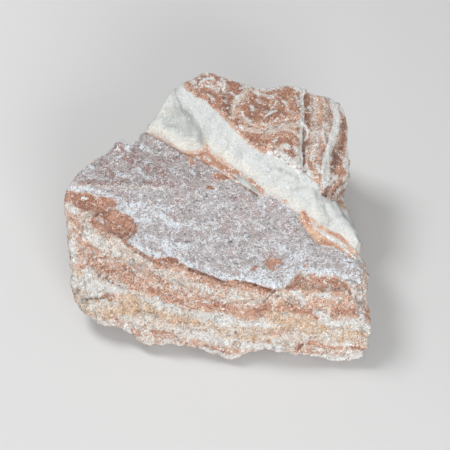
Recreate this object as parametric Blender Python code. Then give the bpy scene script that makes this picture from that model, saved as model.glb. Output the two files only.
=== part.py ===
# A raw chunk of banded aragonite, broken on every side, resting on its flattest break.
#
# The rock is layered. From the bottom up: pale and salmon bands, a thin grey-mauve skin whose
# bedding plane is the big flat face, a white layer that breaks off in a slope, and a
# red-brown crust on top that folds down into ribs on the right.
#
# Named sizes are millimetres; the meshes are metres, +Z up, with the origin under the middle
# of the stone on the surface that it rests on. Visible corners are drawn once, in an oblique
# drawing of the stone seen from the front and 50 degrees above the table: (across, up) in
# that drawing, with the drawing plane life size where it passes through DRAWING_CENTRE.

import math

import bmesh
import bpy
import numpy as np
from mathutils import Vector, noise

MM = 0.001
ON_TABLE = 1e-7  # metres within which a corner counts as lying on the table

# Driving dimensions, in millimetres and degrees.
DRAWING_CENTRE = np.array((3.0, -14.5, 34.0))
DRAWING_PITCH = 50.0
SIGHT_LENGTH = 470.0
BEDDING_DIP_RIGHT = 3.0
BEDDING_DIP_FRONT = 4.0
UPPER_LAYER = 11.0
SKIN = 1.3
CRUST = 0.7
VOXEL = 1.0
TRIANGLES = 9400

# The outline of the whole stone in the drawing, clockwise from the left corner.
OUTLINE = [
    (-60.4, 10.5), (-60.0, 13.5), (-56.6, 18.4), (-53.6, 21.4), (-45.8, 25.9), (-42.0, 29.2),
    (-40.1, 31.1), (-38.6, 31.0), (-36.8, 29.4), (-32.2, 33.8), (-27.4, 38.2), (-24.4, 43.9),
    (-20.2, 50.2), (-17.6, 52.9), (-12.4, 54.8), (-10.1, 56.6), (-7.5, 57.6), (-4.1, 57.0),
    (2.6, 54.8), (9.8, 52.5), (17.2, 51.8), (24.8, 52.7), (27.8, 52.1), (30.8, 49.9),
    (37.9, 48.4), (41.6, 46.9), (44.2, 44.6), (45.8, 41.2), (46.5, 35.6), (46.1, 30.8),
    (47.2, 21.4), (46.9, 17.6), (44.2, 9.8), (45.4, 6.4), (46.9, 3.0), (49.9, -3.8),
    (51.2, -6.0), (51.2, -11.6), (52.5, -15.0), (54.6, -19.1), (53.6, -22.1), (53.2, -25.5),
    (54.2, -33.8), (54.8, -42.0), (54.6, -45.4), (52.9, -50.2), (50.2, -51.2), (46.5, -51.8),
    (37.9, -50.2), (27.4, -49.1), (16.9, -47.4), (9.0, -48.0), (3.0, -50.6), (0.4, -50.2),
    (-7.5, -47.2), (-19.9, -44.4), (-24.0, -44.4), (-29.2, -45.8), (-34.5, -42.4),
    (-40.1, -38.2), (-45.8, -37.5), (-50.6, -35.2), (-55.5, -30.4), (-57.2, -27.8),
    (-57.8, -22.5), (-58.3, -16.1), (-59.8, 0.0),
]
OUTLINE_CENTRE = np.array((-3.0, 3.0))

# Where the grey-mauve skin still covers the bedding plane; elsewhere it has flaked away.
SKIN_EDGE = [
    (-62.0, 13.0), (-57.0, 20.0), (-45.0, 29.0), (-38.0, 34.0), (-29.0, 38.0), (-24.4, 32.0),
    (-12.0, 26.0), (-4.9, 22.5), (10.1, 12.4), (16.9, 10.0), (24.8, 6.0), (28.1, 3.8),
    (28.9, 0.8), (33.4, -6.0), (36.4, -8.2), (42.8, -9.0), (52.1, -14.0), (49.5, -20.6),
    (44.2, -18.8), (34.9, -18.0), (28.5, -16.1), (24.0, -22.9), (18.0, -23.8), (6.8, -21.0),
    (0.8, -21.4), (-13.5, -16.9), (-18.8, -12.9), (-28.9, -12.4), (-36.8, -5.6), (-33.0, -2.6),
    (-34.9, 3.0), (-40.9, 6.0), (-40.5, 8.2), (-46.9, 11.2), (-54.4, 11.8),
]

# Where the red-brown crust still covers the white layer.
CRUST_EDGE = [
    (28.6, 20.2), (21.8, 25.1), (13.9, 28.1), (7.9, 32.6), (3.4, 36.8), (-4.5, 44.6),
    (-10.5, 48.0), (-15.4, 52.5), (-14.0, 60.0), (29.0, 58.0),
]

# The corner of the flat face that dips away to the back and was left coarse.
COARSE_EDGE = [
    (-64.0, 14.8), (-30.0, 15.2), (-12.0, 17.0), (-6.0, 24.0), (-30.0, 40.0), (-64.0, 40.0),
]

# Ridges and grooves that run along a drawn path: (path, half width, height).
RUNS = [
    # the deep groove between the crust and the ribs, and its lip
    ([(29.3, 49.0), (29.5, 40.0), (29.2, 30.0), (29.7, 19.5)], 1.5, -2.2),
    ([(27.9, 49.0), (28.1, 30.0), (28.0, 20.0)], 0.9, 0.5),
    # the ribs of the right flank
    ([(31.9, 48.0), (32.2, 35.6), (31.9, 22.5)], 1.6, 0.8),
    ([(34.3, 47.0), (34.3, 35.0), (33.2, 22.0)], 1.1, -0.8),
    ([(36.8, 47.6), (36.4, 35.6), (34.1, 17.6)], 2.2, 1.2),
    ([(39.6, 46.0), (39.2, 37.0), (36.6, 25.0)], 1.2, -0.8),
    ([(42.0, 46.1), (42.4, 40.1), (39.4, 31.9), (37.5, 22.5), (35.6, 15.0)], 1.7, 1.2),
    ([(44.2, 42.4), (45.0, 35.6), (43.1, 26.2), (41.2, 19.9)], 2.2, -1.5),
    ([(38.9, 11.0), (43.1, 16.4), (46.8, 21.4)], 2.6, -2.0),
    # the white slope: its dent, the ridge beside it and two shallow valleys
    ([(-23.0, 43.0), (-16.5, 38.5), (-12.0, 34.5)], 6.5, -3.0),
    ([(-18.0, 50.6), (-17.6, 46.9), (-12.0, 40.1), (-8.2, 33.8), (-6.8, 27.4)], 2.2, 1.2),
    ([(17.0, 19.0), (22.0, 17.5), (27.0, 15.5)], 3.5, -1.3),
    ([(36.4, 11.2), (36.2, 4.0), (36.8, -2.0)], 3.2, -1.6),
    ([(13.9, 33.0), (3.8, 22.0)], 3.5, 0.7),
    # the crack along the foot of the slope, with a loose chip in it
    ([(-8.5, 25.0), (0.0, 19.9), (5.6, 16.5), (14.2, 11.0)], 1.3, -1.9),
    ([(4.9, 19.6), (8.0, 16.6), (10.9, 13.6)], 1.1, 1.3),
    # the flaked scoops at the left corner
    ([(-56.0, 8.6), (-46.0, 8.0)], 4.5, -1.3),
    ([(-45.5, 0.8), (-38.0, -0.8)], 6.0, -2.2),
    ([(-48.8, 2.0), (-45.0, 4.2), (-42.0, 4.6)], 0.9, 0.9),
    # the orange ledge under the right end of the slope
    ([(31.5, 1.5), (35.6, -2.8), (41.2, -7.0), (48.8, -12.0)], 1.3, 0.8),
    # the front: the recess under the skin, a crack, the column of crystals, the right edge
    (
        [
            (-33.0, -10.6), (-28.0, -14.4), (-19.0, -14.9), (-13.0, -18.6), (1.0, -23.1),
            (10.0, -23.9), (22.0, -25.6),
        ],
        1.7, -1.5,
    ),
    ([(13.4, -28.6), (18.2, -23.6)], 0.9, -1.1),
    ([(-51.0, -29.8), (-43.0, -33.0)], 4.5, 1.6),
    ([(-53.0, -26.6), (-44.6, -28.1)], 1.2, -1.3),
    ([(-44.6, -28.1), (-41.2, -35.2)], 1.1, -0.8),
    ([(50.2, -15.5), (50.0, -25.0), (50.5, -35.0), (51.0, -46.0)], 1.8, 1.0),
    ([(-28.0, -30.0), (-19.0, -33.0), (-10.0, -36.5)], 2.0, -1.2),
    ([(-24.0, -27.0), (-12.0, -30.0), (2.0, -31.5)], 2.2, 1.0),
    ([(6.0, -34.5), (16.0, -31.5), (30.0, -31.0), (46.0, -33.0)], 1.6, -1.0),
    ([(29.0, -20.0), (37.0, -21.0), (47.0, -22.5)], 3.2, -1.0),
]

# The drawn height of three bed boundaries on the front, at each of BED_ACROSS.
BED_ACROSS = (-60.0, -49.0, -28.0, -15.0, 2.0, 13.0, 28.0, 47.0, 56.0)
BEDS_UP = (
    (8.0, 0.0, -13.0, -15.5, -21.0, -22.5, -21.0, -20.5, -21.0),
    (-9.4, -11.6, -17.6, -25.1, -28.1, -28.1, -27.4, -28.1, -28.1),
    (-13.9, -18.4, -24.4, -31.9, -34.1, -34.9, -33.8, -35.6, -35.6),
    (-28.1, -35.6, -45.8, -45.8, -50.6, -47.2, -49.1, -51.8, -50.0),
)
BED_DEPTHS = (0.0, 9.5, 16.5, 34.0)

# Where each kind of surface starts and where it is complete. The first two are cosines, to the
# line of sight and to the bedding; the others are millimetres, below the flat face, outside a
# drawn edge or above the table.
SEEN_FROM = (0.02, 0.22)
LEVEL_FROM = (0.8, 0.95)
FLAT_FROM_ABOVE = (-3.0, -1.5)
FLAT_FROM_BELOW = (5.0, 3.0)
CRUST_FROM = (4.0 - UPPER_LAYER, 1.5 - UPPER_LAYER)
SLOPE_FROM = (0.0, -1.5)
SIDE_FROM = (0.0, 2.0)
BARE_FROM = (-0.3, 0.5)
COARSE_FROM = (1.0, -1.0)
CRUST_LIP = (0.4, -0.4)
ROUGH_FROM = (0.0, 2.0)

# The texture of the breaks: the size of its parts, and how high each kind of surface has them.
LUMP_SIZE = 9.0
GRIT_SIZE = 3.0
GRIT_SHIFT = 50.0
CHIP_SIZE = 7.0
CHIP_TILT = 2.4
CHIP_STEP = 0.5
CHIP_SHUFFLE = 31.7
FINER_PARTS = (0.7, 2.1)  # how fast a finer lump loses height, and how much smaller it is
ROUGHNESS = {  # lumps, grit, chips
    "flat": (0.0, 0.12, 0.0),
    "bare": (0.36, 0.24, 0.3),
    "coarse": (0.3, 0.2, 0.25),
    "slope": (0.5, 0.2, 0.35),
    "crust": (0.35, 0.3, 0.3),
    "side": (0.65, 0.45, 0.9),
    "hidden": (0.0, 0.0, -0.3),
}
SWELL_SIZE = 30.0
SWELL = 0.3
BIG_BREAK_SIZE = 24.0
BIG_BREAK = 2.6

# The ledges that the beds break into, which die out in the crystals of the left corner.
LEDGES_IN_A_BED = 2.0
LEDGE = 0.32
LEDGE_EDGE = (0.1, 0.7)
LEDGE_WAVER = 0.5
LEDGE_WAVER_SIZE = 14.0
LEDGES_FROM = (-48.0, -22.0)

# The rim is eased onto OUTLINE from this share of its reach outwards, in this many directions.
RIM_FROM = 0.72
RIM_STEPS = 360
SLACK = 1e-6  # share of a side of OUTLINE by which a ray may miss its ends
PARALLEL = 1e-9


# ---- the oblique drawing ----

PITCH = math.radians(DRAWING_PITCH)
ACROSS = np.array((1.0, 0.0, 0.0))
UP = np.array((0.0, math.sin(PITCH), math.cos(PITCH)))
TOWARDS = np.array((0.0, -math.cos(PITCH), math.sin(PITCH)))
EYE = DRAWING_CENTRE + SIGHT_LENGTH * TOWARDS

BEDDING_NORMAL = np.array((
    math.tan(math.radians(BEDDING_DIP_RIGHT)),
    -math.tan(math.radians(BEDDING_DIP_FRONT)),
    1.0,
))
BEDDING_NORMAL = BEDDING_NORMAL / np.linalg.norm(BEDDING_NORMAL)


def on_plane(across, up, point, normal):
    """The place on a plane that the drawing shows at (across, up)."""
    sight = DRAWING_CENTRE + across * ACROSS + up * UP - EYE
    return EYE + sight * (np.dot(point - EYE, normal) / np.dot(sight, normal))


def at_height(across, up, height):
    """The drawn place, at a height above the table."""
    return on_plane(across, up, np.array((0.0, 0.0, height)), np.array((0.0, 0.0, 1.0)))


def on_bedding(across, up, below=0.0):
    """The drawn place, at a depth below the flat face."""
    return on_plane(across, up, DRAWING_CENTRE - below * BEDDING_NORMAL, BEDDING_NORMAL)


def drawn(points):
    """(across, up) in the drawing of each point."""
    offset = points - DRAWING_CENTRE
    scale = SIGHT_LENGTH / (SIGHT_LENGTH - offset @ TOWARDS)
    return np.stack((offset @ ACROSS * scale, offset @ UP * scale), axis=1)


# ---- the broken blocks ----

def lower_block():
    """The banded block under the flat face, which overhangs the table all round."""
    flat_face = [
        on_bedding(-60.4, 10.1, 1.0), on_bedding(-59.6, 14.4), on_bedding(-50.6, 23.6, 2.5),
        on_bedding(-39.4, 30.8, 3.5), on_bedding(-30.0, 35.2, 3.0), on_bedding(-12.0, 17.5),
        on_bedding(51.0, -12.4), on_bedding(50.2, -15.4), on_bedding(49.9, -22.1, 0.5),
        on_bedding(45.0, -24.4), on_bedding(23.2, -24.0), on_bedding(5.6, -21.0),
        on_bedding(-9.4, -18.0), on_bedding(-26.2, -13.5), on_bedding(-37.1, -6.0),
        on_bedding(-48.8, 3.8),
    ]
    front_foot = [
        at_height(-59.2, -5.6, 27), at_height(-58.1, -18.8, 18), at_height(-57.0, -28.1, 12),
        at_height(-52.9, -33.4, 9), at_height(-40.1, -38.2, 6), at_height(-28.9, -45.8, 4),
        at_height(-9.4, -46.9, 5), at_height(1.9, -50.2, 3), at_height(28.1, -49.1, 4),
        at_height(46.9, -51.8, 2.5), at_height(52.9, -49.9, 4), at_height(54.8, -43.9, 8),
        at_height(54.0, -31.9, 17), at_height(53.6, -21.8, 25),
    ]
    # (x, y, height above the table) of the corners that the drawing doesn't show
    hidden_walls = [
        (-52, 0, 20), (-50, -6, 5), (-46, 12, 18), (-42, 14, 3), (-34, 34, 22), (-28, 34, 3),
        (-14, 48, 31), (-12, 51, 24), (-8, 47, 3), (12, 49, 33), (14, 54, 20), (12, 50, 2),
        (36, 46, 33), (38, 51, 20), (35, 45, 3), (49, 34, 32), (48, 32, 16), (45, 30, 3),
        (50, 10, 16), (48, 8, 3), (53, -12, 20), (52, -14, 3),
    ]
    rest = [
        (-44, -26, -1), (-46, -6, -1), (-36, 14, -1), (-18, 36, -1), (6, 44, -1), (32, 38, -1),
        (42, 16, -1), (46, -18, -1), (48, -48, -1), (30, -50, -1), (-10, -47, -1), (-30, -42, -1),
    ]
    return block("lower_block", flat_face + front_foot + hidden_walls + rest)


def upper_block():
    """The white layer with the crust on it, which steps up from the flat face."""
    crust = -UPPER_LAYER
    crust_rim = [
        on_bedding(-17.6, 52.9, crust), on_bedding(-7.5, 57.6, crust - 1),
        on_bedding(9.4, 52.9, crust), on_bedding(28.1, 52.1, crust), on_bedding(29.2, 19.9, crust),
        on_bedding(21.4, 25.5, crust), on_bedding(3.8, 36.8, crust), on_bedding(-6.8, 46.5, crust),
    ]
    ribbed_flank = [
        on_bedding(44.2, 44.6, crust + 3), on_bedding(46.5, 31.9, crust + 5),
        on_bedding(47.2, 20.6, crust + 6), on_bedding(42.0, 11.0, crust + 7),
    ]
    slope_foot = [
        on_bedding(-30.0, 35.6, 2.8), on_bedding(-18.8, 28.1, 1.6), on_bedding(-6.4, 24.0, 0.6),
        on_bedding(12.0, 11.6), on_bedding(28.1, 3.8), on_bedding(36.0, -1.1),
    ]
    buried = [
        (-29, 31, 28), (-14, 46, 28), (12, 48, 28), (36, 45, 28), (47, 32, 28), (44, 0, 28),
    ]
    return block("upper_block", crust_rim + ribbed_flank + slope_foot + buried)


def white_wedge():
    """The tail of the white slope, which runs down to the right corner."""
    drawn_corners = [
        on_bedding(13.9, 11.0), on_bedding(28.1, 3.8), on_bedding(41.2, -5.6),
        on_bedding(51.0, -12.4), on_bedding(51.2, -5.6, -3.0), on_bedding(46.9, 3.0, -4.5),
        on_bedding(43.5, 9.4, -5.0), on_bedding(36.4, 10.9, -7.0), on_bedding(28.1, 16.9, -8.0),
    ]
    buried = [(20, 10, 25), (46, 12, 25), (50, -28, 25), (30, -12, 25)]
    return block("white_wedge", drawn_corners + buried)


def block(name, corners):
    """A block broken flat between its corners: their convex hull."""
    shape = bmesh.new()
    for corner in corners:
        shape.verts.new(Vector(corner) * MM)
    hull = bmesh.ops.convex_hull(shape, input=shape.verts)
    spare = [item for item in hull["geom_interior"] if isinstance(item, bmesh.types.BMVert)]
    bmesh.ops.delete(shape, geom=spare, context="VERTS")
    bmesh.ops.recalc_face_normals(shape, faces=shape.faces)
    mesh = bpy.data.meshes.new(name)
    shape.to_mesh(mesh)
    shape.free()
    made = bpy.data.objects.new(name, mesh)
    bpy.context.scene.collection.objects.link(made)
    return made


def join(stone, other):
    union = stone.modifiers.new("join " + other.name, "BOOLEAN")
    union.operation = "UNION"
    union.object = other
    other.hide_render = True
    other.display_type = "WIRE"


def even_mesh(stone, voxel):
    remesh = stone.modifiers.new("even mesh", "REMESH")
    remesh.mode = "VOXEL"
    remesh.voxel_size = voxel * MM


def settle(stone):
    """Replace the mesh by what its modifiers make of it."""
    graph = bpy.context.evaluated_depsgraph_get()
    made = bpy.data.meshes.new_from_object(stone.evaluated_get(graph))
    stone.modifiers.clear()
    stone.data = made


# ---- distances in the drawing ----

def path_distance(places, path):
    """How far each drawn place is from a path of drawn points."""
    path = np.array(path, float)
    nearest = np.full(len(places), np.inf)
    for start, end in zip(path[:-1], path[1:]):
        run = end - start
        along = np.clip((places - start) @ run / (run @ run), 0.0, 1.0)
        gap = places - start - along[:, None] * run
        nearest = np.minimum(nearest, np.hypot(gap[:, 0], gap[:, 1]))
    return nearest


def edge_distance(places, edge):
    """How far each drawn place is outside a closed outline; negative inside it."""
    ring = np.array(edge + edge[:1], float)
    inside = np.zeros(len(places), bool)
    for start, end in zip(ring[:-1], ring[1:]):
        spans = (start[1] > places[:, 1]) != (end[1] > places[:, 1])
        rise = end[1] - start[1]
        if rise == 0.0:
            continue
        crossing = start[0] + (places[:, 1] - start[1]) * (end[0] - start[0]) / rise
        inside ^= spans & (places[:, 0] < crossing)
    distance = path_distance(places, ring)
    return np.where(inside, -distance, distance)


def smoothstep(low, high, value):
    share = np.clip((value - low) / (high - low), 0.0, 1.0)
    return share * share * (3.0 - 2.0 * share)


# ---- the broken surface ----

def rough(points, size, octaves=3):
    """Rolling roughness between about -1 and 1, with lumps of the given size."""
    return np.array([
        noise.fractal(Vector(point) / size, *FINER_PARTS, octaves) for point in points
    ])


def facets(points, size):
    """Flat chips tilted at random, between about -1 and 1, of the given size."""
    found = np.empty(len(points))
    for index, point in enumerate(points):
        place = Vector(point) / size
        spot = noise.voronoi(place)[1][0]
        tilt = noise.cell_vector(spot * CHIP_SHUFFLE) - Vector((0.5, 0.5, 0.5))
        found[index] = CHIP_TILT * (place - spot).dot(tilt) + CHIP_STEP * tilt.x
    return found


def below_bedding(points):
    return (DRAWING_CENTRE - points) @ BEDDING_NORMAL


def bed_number(points, places, seen):
    """0 at the flat face, 1 and 2 at the edges of the orange bed, 3 at the lowest edge."""
    tops = np.stack([np.interp(places[:, 0], BED_ACROSS, ups) for ups in BEDS_UP])
    drawn_bed = np.zeros(len(places))
    for upper, lower in zip(tops[:-1], tops[1:]):
        drawn_bed += np.clip((upper - places[:, 1]) / (upper - lower), 0.0, 1.0)
    buried_bed = np.interp(below_bedding(points), BED_DEPTHS, range(len(BED_DEPTHS)))
    return seen * drawn_bed + (1.0 - seen) * buried_bed


def surfaces(points, places, normals):
    """How much of each kind of surface there is at each place, from 0 to 1."""
    sight = EYE - points
    sight /= np.linalg.norm(sight, axis=1)[:, None]
    seen = smoothstep(*SEEN_FROM, np.sum(normals * sight, axis=1))
    depth = below_bedding(points)
    level = smoothstep(*LEVEL_FROM, normals @ BEDDING_NORMAL)
    flat = level * smoothstep(*FLAT_FROM_BELOW, depth) * smoothstep(*FLAT_FROM_ABOVE, depth) * seen
    crust = level * smoothstep(*CRUST_FROM, depth)
    return {
        "seen": seen,
        "hidden": 1.0 - seen,
        "flat": flat,
        "crust": crust,
        "slope": (1.0 - flat) * (1.0 - crust) * smoothstep(*SLOPE_FROM, depth) * seen,
        "side": (1.0 - flat) * smoothstep(*SIDE_FROM, depth),
        "bare": flat * smoothstep(*BARE_FROM, edge_distance(places, SKIN_EDGE)),
        "coarse": flat * smoothstep(*COARSE_FROM, edge_distance(places, COARSE_EDGE)),
    }


def relief(points, normals):
    """How far each place of the surface stands out of the flat blocks, in millimetres."""
    places = drawn(points)
    share = surfaces(points, places, normals)
    rise = CRUST * share["crust"] * smoothstep(*CRUST_LIP, edge_distance(places, CRUST_EDGE))
    rise -= SKIN * share["bare"]
    for path, half_width, height in RUNS:
        run = smoothstep(half_width, 0.0, path_distance(places, path))
        rise += share["seen"] * height * run

    lumps = rough(points, LUMP_SIZE)
    grit = rough(points + GRIT_SHIFT, GRIT_SIZE, 2)
    chips = facets(points, CHIP_SIZE)
    for surface, heights in ROUGHNESS.items():
        for height, pattern in zip(heights, (lumps, grit, chips)):
            rise += share[surface] * height * pattern
    rise += share["flat"] * SWELL * rough(points, SWELL_SIZE, 2)
    rise += share["hidden"] * BIG_BREAK * facets(points, BIG_BREAK_SIZE)

    waver = LEDGE_WAVER * rough(points, LEDGE_WAVER_SIZE, 2)
    bed = bed_number(points, places, share["seen"])
    ledges = np.sin(2.0 * math.pi * (LEDGES_IN_A_BED * bed + waver))
    ledges = np.sign(ledges) * smoothstep(*LEDGE_EDGE, np.abs(ledges))
    rise += share["side"] * smoothstep(*LEDGES_FROM, places[:, 0]) * LEDGE * ledges
    return rise * smoothstep(*ROUGH_FROM, points[:, 2])


def fit_outline(points):
    """Ease the rim of the stone onto its drawn outline."""
    places = drawn(points)
    arm = places - OUTLINE_CENTRE
    reach = np.hypot(arm[:, 0], arm[:, 1])
    turn = np.arctan2(arm[:, 1], arm[:, 0])
    turns = np.linspace(-math.pi, math.pi, RIM_STEPS + 1)
    slot = np.round((turn + math.pi) / (2.0 * math.pi) * RIM_STEPS).astype(int)
    rim = np.zeros(RIM_STEPS + 1)
    np.maximum.at(rim, slot, reach)
    rim[0] = rim[-1] = max(rim[0], rim[-1])
    rim_here = np.interp(turn, turns, rim)
    gain = np.interp(turn, turns, outline_reach(turns) / rim) - 1.0
    shift = arm * (gain * smoothstep(RIM_FROM, 1.0, reach / rim_here))[:, None]
    return points + shift[:, :1] * ACROSS + shift[:, 1:] * UP


def outline_reach(turns):
    """How far the drawn outline is from its centre, in each direction."""
    ring = np.array(OUTLINE + OUTLINE[:1]) - OUTLINE_CENTRE
    found = np.zeros(len(turns))
    for start, end in zip(ring[:-1], ring[1:]):
        run = end - start
        ways = np.stack((np.cos(turns), np.sin(turns)), axis=1)
        cross = ways[:, 0] * run[1] - ways[:, 1] * run[0]
        cross = np.where(np.abs(cross) < PARALLEL, PARALLEL, cross)
        reach = (start[0] * run[1] - start[1] * run[0]) / cross
        along = (ways[:, 1] * start[0] - ways[:, 0] * start[1]) / cross
        hit = (along >= -SLACK) & (along <= 1.0 + SLACK) & (reach > 0.0)
        found = np.where(hit, np.maximum(found, reach), found)
    return found


def carve(stone):
    """Give the flat blocks their broken surface."""
    mesh = stone.data
    count = len(mesh.vertices)
    points = np.empty(count * 3)
    normals = np.empty(count * 3)
    mesh.vertices.foreach_get("co", points)
    mesh.vertices.foreach_get("normal", normals)
    points = points.reshape(-1, 3) / MM
    normals = normals.reshape(-1, 3)
    points = points + normals * relief(points, normals)[:, None]
    points = fit_outline(points)
    mesh.vertices.foreach_set("co", (points * MM).ravel())
    mesh.update()


def thin_out(stone, triangles):
    decimate = stone.modifiers.new("thin out", "DECIMATE")
    decimate.use_collapse_triangulate = True
    faces = sum(len(face.vertices) - 2 for face in stone.data.polygons)
    decimate.ratio = triangles / faces


def cut_rest(stone):
    """Cut the stone off flat where it touches the table."""
    shape = bmesh.new()
    shape.from_mesh(stone.data)
    everything = list(shape.verts) + list(shape.edges) + list(shape.faces)
    cut = bmesh.ops.bisect_plane(
        shape, geom=everything, dist=ON_TABLE, plane_co=(0, 0, 0), plane_no=(0, 0, 1),
        clear_inner=True,
    )
    rim = [item for item in cut["geom_cut"] if isinstance(item, bmesh.types.BMEdge)]
    bmesh.ops.holes_fill(shape, edges=rim)
    bmesh.ops.triangulate(shape, faces=shape.faces)
    bmesh.ops.recalc_face_normals(shape, faces=shape.faces)
    shape.to_mesh(stone.data)
    shape.free()


def rock_material():
    material = bpy.data.materials.new("banded_aragonite")
    material.use_nodes = True
    shader = material.node_tree.nodes["Principled BSDF"]
    shader.inputs["Base Color"].default_value = (0.58, 0.42, 0.35, 1.0)
    shader.inputs["Roughness"].default_value = 0.8
    shader.inputs["Metallic"].default_value = 0.0
    return material


def main():
    for old in list(bpy.data.objects):
        bpy.data.objects.remove(old)
    stone = lower_block()
    join(stone, upper_block())
    join(stone, white_wedge())
    even_mesh(stone, VOXEL)
    settle(stone)
    carve(stone)
    even_mesh(stone, VOXEL)
    settle(stone)
    thin_out(stone, TRIANGLES)
    settle(stone)
    cut_rest(stone)
    stone.name = "aragonite"
    stone.data.name = "aragonite"
    stone.data.materials.append(rock_material())


main()
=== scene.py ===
import math

import bpy
import numpy as np
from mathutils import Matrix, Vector, noise


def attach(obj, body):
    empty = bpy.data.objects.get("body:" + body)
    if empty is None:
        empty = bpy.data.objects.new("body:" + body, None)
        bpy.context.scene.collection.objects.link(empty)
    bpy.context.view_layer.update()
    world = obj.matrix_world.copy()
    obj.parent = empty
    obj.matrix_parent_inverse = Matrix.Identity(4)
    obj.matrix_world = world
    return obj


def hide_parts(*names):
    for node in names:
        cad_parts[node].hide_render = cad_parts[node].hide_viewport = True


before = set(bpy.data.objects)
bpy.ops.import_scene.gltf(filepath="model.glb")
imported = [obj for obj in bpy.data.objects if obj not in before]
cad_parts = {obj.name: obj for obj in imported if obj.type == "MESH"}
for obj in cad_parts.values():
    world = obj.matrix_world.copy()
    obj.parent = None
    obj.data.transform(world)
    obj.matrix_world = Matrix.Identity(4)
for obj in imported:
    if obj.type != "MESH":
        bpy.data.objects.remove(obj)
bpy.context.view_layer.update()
print("frame loaded")

mm = 0.001

# Everything that is drawn on the stone is drawn on one sheet of squared paper: the
# stone seen from the front and from above. (column, row) counts its squares from the top left.
sheet = {
    "centre": (3.0, -14.5, 34.0),  # mm, the place in the stone behind the sheet's middle
    "squares": 450.0,  # across it and down it
    "square": 0.375,  # mm, life size at that place
    "pitch": 50.0,  # degrees that the view looks down
    "lens": 100.0,  # mm, of the camera, and the width of its sensor
    "sensor": 36.0,
}

pitch = math.radians(sheet["pitch"])
sheetUp = np.array((0.0, math.sin(pitch), math.cos(pitch)))
sheetTowards = np.array((0.0, -math.cos(pitch), math.sin(pitch)))
sheetCentre = np.array(sheet["centre"])
sheetMiddle = sheet["squares"] / 2
eyeDistance = sheet["squares"] * sheet["square"] * sheet["lens"] / sheet["sensor"]
eye = sheetCentre + eyeDistance * sheetTowards


def onSheet(points):
    # (column, row) of each point, given in mm
    offset = points - sheetCentre
    scale = eyeDistance / (eyeDistance - offset @ sheetTowards) / sheet["square"]
    columns = sheetMiddle + offset[:, 0] * scale
    rows = sheetMiddle - offset @ sheetUp * scale
    return np.stack((columns, rows), axis=1)


def smoothstep(low, high, value):
    share = np.clip((value - low) / (high - low), 0.0, 1.0)
    return share * share * (3.0 - 2.0 * share)


def pathDistance(places, path):
    # squares from each place to a drawn path
    path = np.array(path, float)
    nearest = np.full(len(places), np.inf)
    for start, end in zip(path[:-1], path[1:]):
        run = end - start
        along = np.clip((places - start) @ run / (run @ run), 0.0, 1.0)
        gap = places - start - along[:, None] * run
        nearest = np.minimum(nearest, np.hypot(gap[:, 0], gap[:, 1]))
    return nearest


def depthInside(places, edge):
    # mm from each place to a drawn outline, positive inside it
    ring = np.array(edge + edge[:1], float)
    inside = np.zeros(len(places), bool)
    for start, end in zip(ring[:-1], ring[1:]):
        if start[1] == end[1]:
            continue
        spans = (start[1] > places[:, 1]) != (end[1] > places[:, 1])
        slant = (end[0] - start[0]) / (end[1] - start[1])
        inside ^= spans & (places[:, 0] < start[0] + (places[:, 1] - start[1]) * slant)
    distance = pathDistance(places, ring) * sheet["square"]
    return np.where(inside, distance, -distance)


def rough(points, size, octaves=3, fade=0.7, finer=2.1):
    # rolling roughness between about -1 and 1
    return np.array([noise.fractal(Vector(p) / size, fade, finer, octaves) for p in points])


def chips(points, size, slope=2.4, step=0.5, apart=31.7):
    # flat chips between about -1 and 1; their middles are taken far apart for tilts of their own
    found = np.empty(len(points))
    for index, point in enumerate(points):
        spot = Vector(point) / size
        middle = noise.voronoi(spot)[1][0]
        tilt = noise.cell_vector(middle * apart) - Vector((0.5, 0.5, 0.5))
        found[index] = slope * (spot - middle).dot(tilt) + step * tilt.x
    return found


def wave(turns, points, wander, size):
    # a wave that wanders to and fro as it runs
    return np.sin(2.0 * math.pi * (turns + wander * rough(points, size, 2)))


stone = {
    "meshSquare": 0.65,  # mm, size of the fine mesh
    "easing": (0.5, 4),  # share and rounds of smoothing over the facets of the plain solid
    "dipRight": 3.0,  # degrees that the bedding falls to the right and to the front
    "dipFront": 4.0,
    "upperLayer": 11.0,  # mm, white layer and crust above the flat face
    "crust": 1.2,  # mm, the part of it that is crust, on hidden sides
    "resting": (1.2, 0.2),  # mm above the table over which the fine relief fades out
}

beddingNormal = np.array((
    math.tan(math.radians(stone["dipRight"])),
    -math.tan(math.radians(stone["dipFront"])),
    1.0,
))
beddingNormal = beddingNormal / np.linalg.norm(beddingNormal)


def fineMesh():
    # an even, eased copy of the plain solid
    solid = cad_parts["aragonite"]
    piece = bpy.data.objects.new("bandedAragonite", solid.data.copy())
    piece.data.transform(solid.matrix_world)
    bpy.context.scene.collection.objects.link(piece)
    even = piece.modifiers.new("even", "REMESH")
    even.mode = "VOXEL"
    even.voxel_size = stone["meshSquare"] * mm
    eased = piece.modifiers.new("eased", "SMOOTH")
    eased.factor, eased.iterations = stone["easing"]
    graph = bpy.context.evaluated_depsgraph_get()
    made = bpy.data.meshes.new_from_object(piece.evaluated_get(graph))
    piece.modifiers.clear()
    piece.data = made
    piece.data.materials.clear()
    return piece


def readMesh(mesh):
    # places in mm and normals of a mesh's corners
    count = len(mesh.vertices)
    points = np.empty(count * 3)
    normals = np.empty(count * 3)
    mesh.vertices.foreach_get("co", points)
    mesh.vertices.foreach_get("normal", normals)
    return points.reshape(-1, 3) / mm, normals.reshape(-1, 3)


# the foot of the white slope, where the flat face ends, in squares
slopeFoot = [
    (175, 150), (185, 155), (196, 158), (205, 163), (215, 169), (225, 175.5), (235, 182),
    (248, 190), (258, 196), (262, 195), (275, 197.5), (285, 203), (296, 211), (301, 214),
    (302, 223), (306, 231), (311, 238), (316, 243.5), (322, 247.5), (330, 248), (338, 249),
    (346, 253), (353, 258.5), (361, 263),
]

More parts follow.
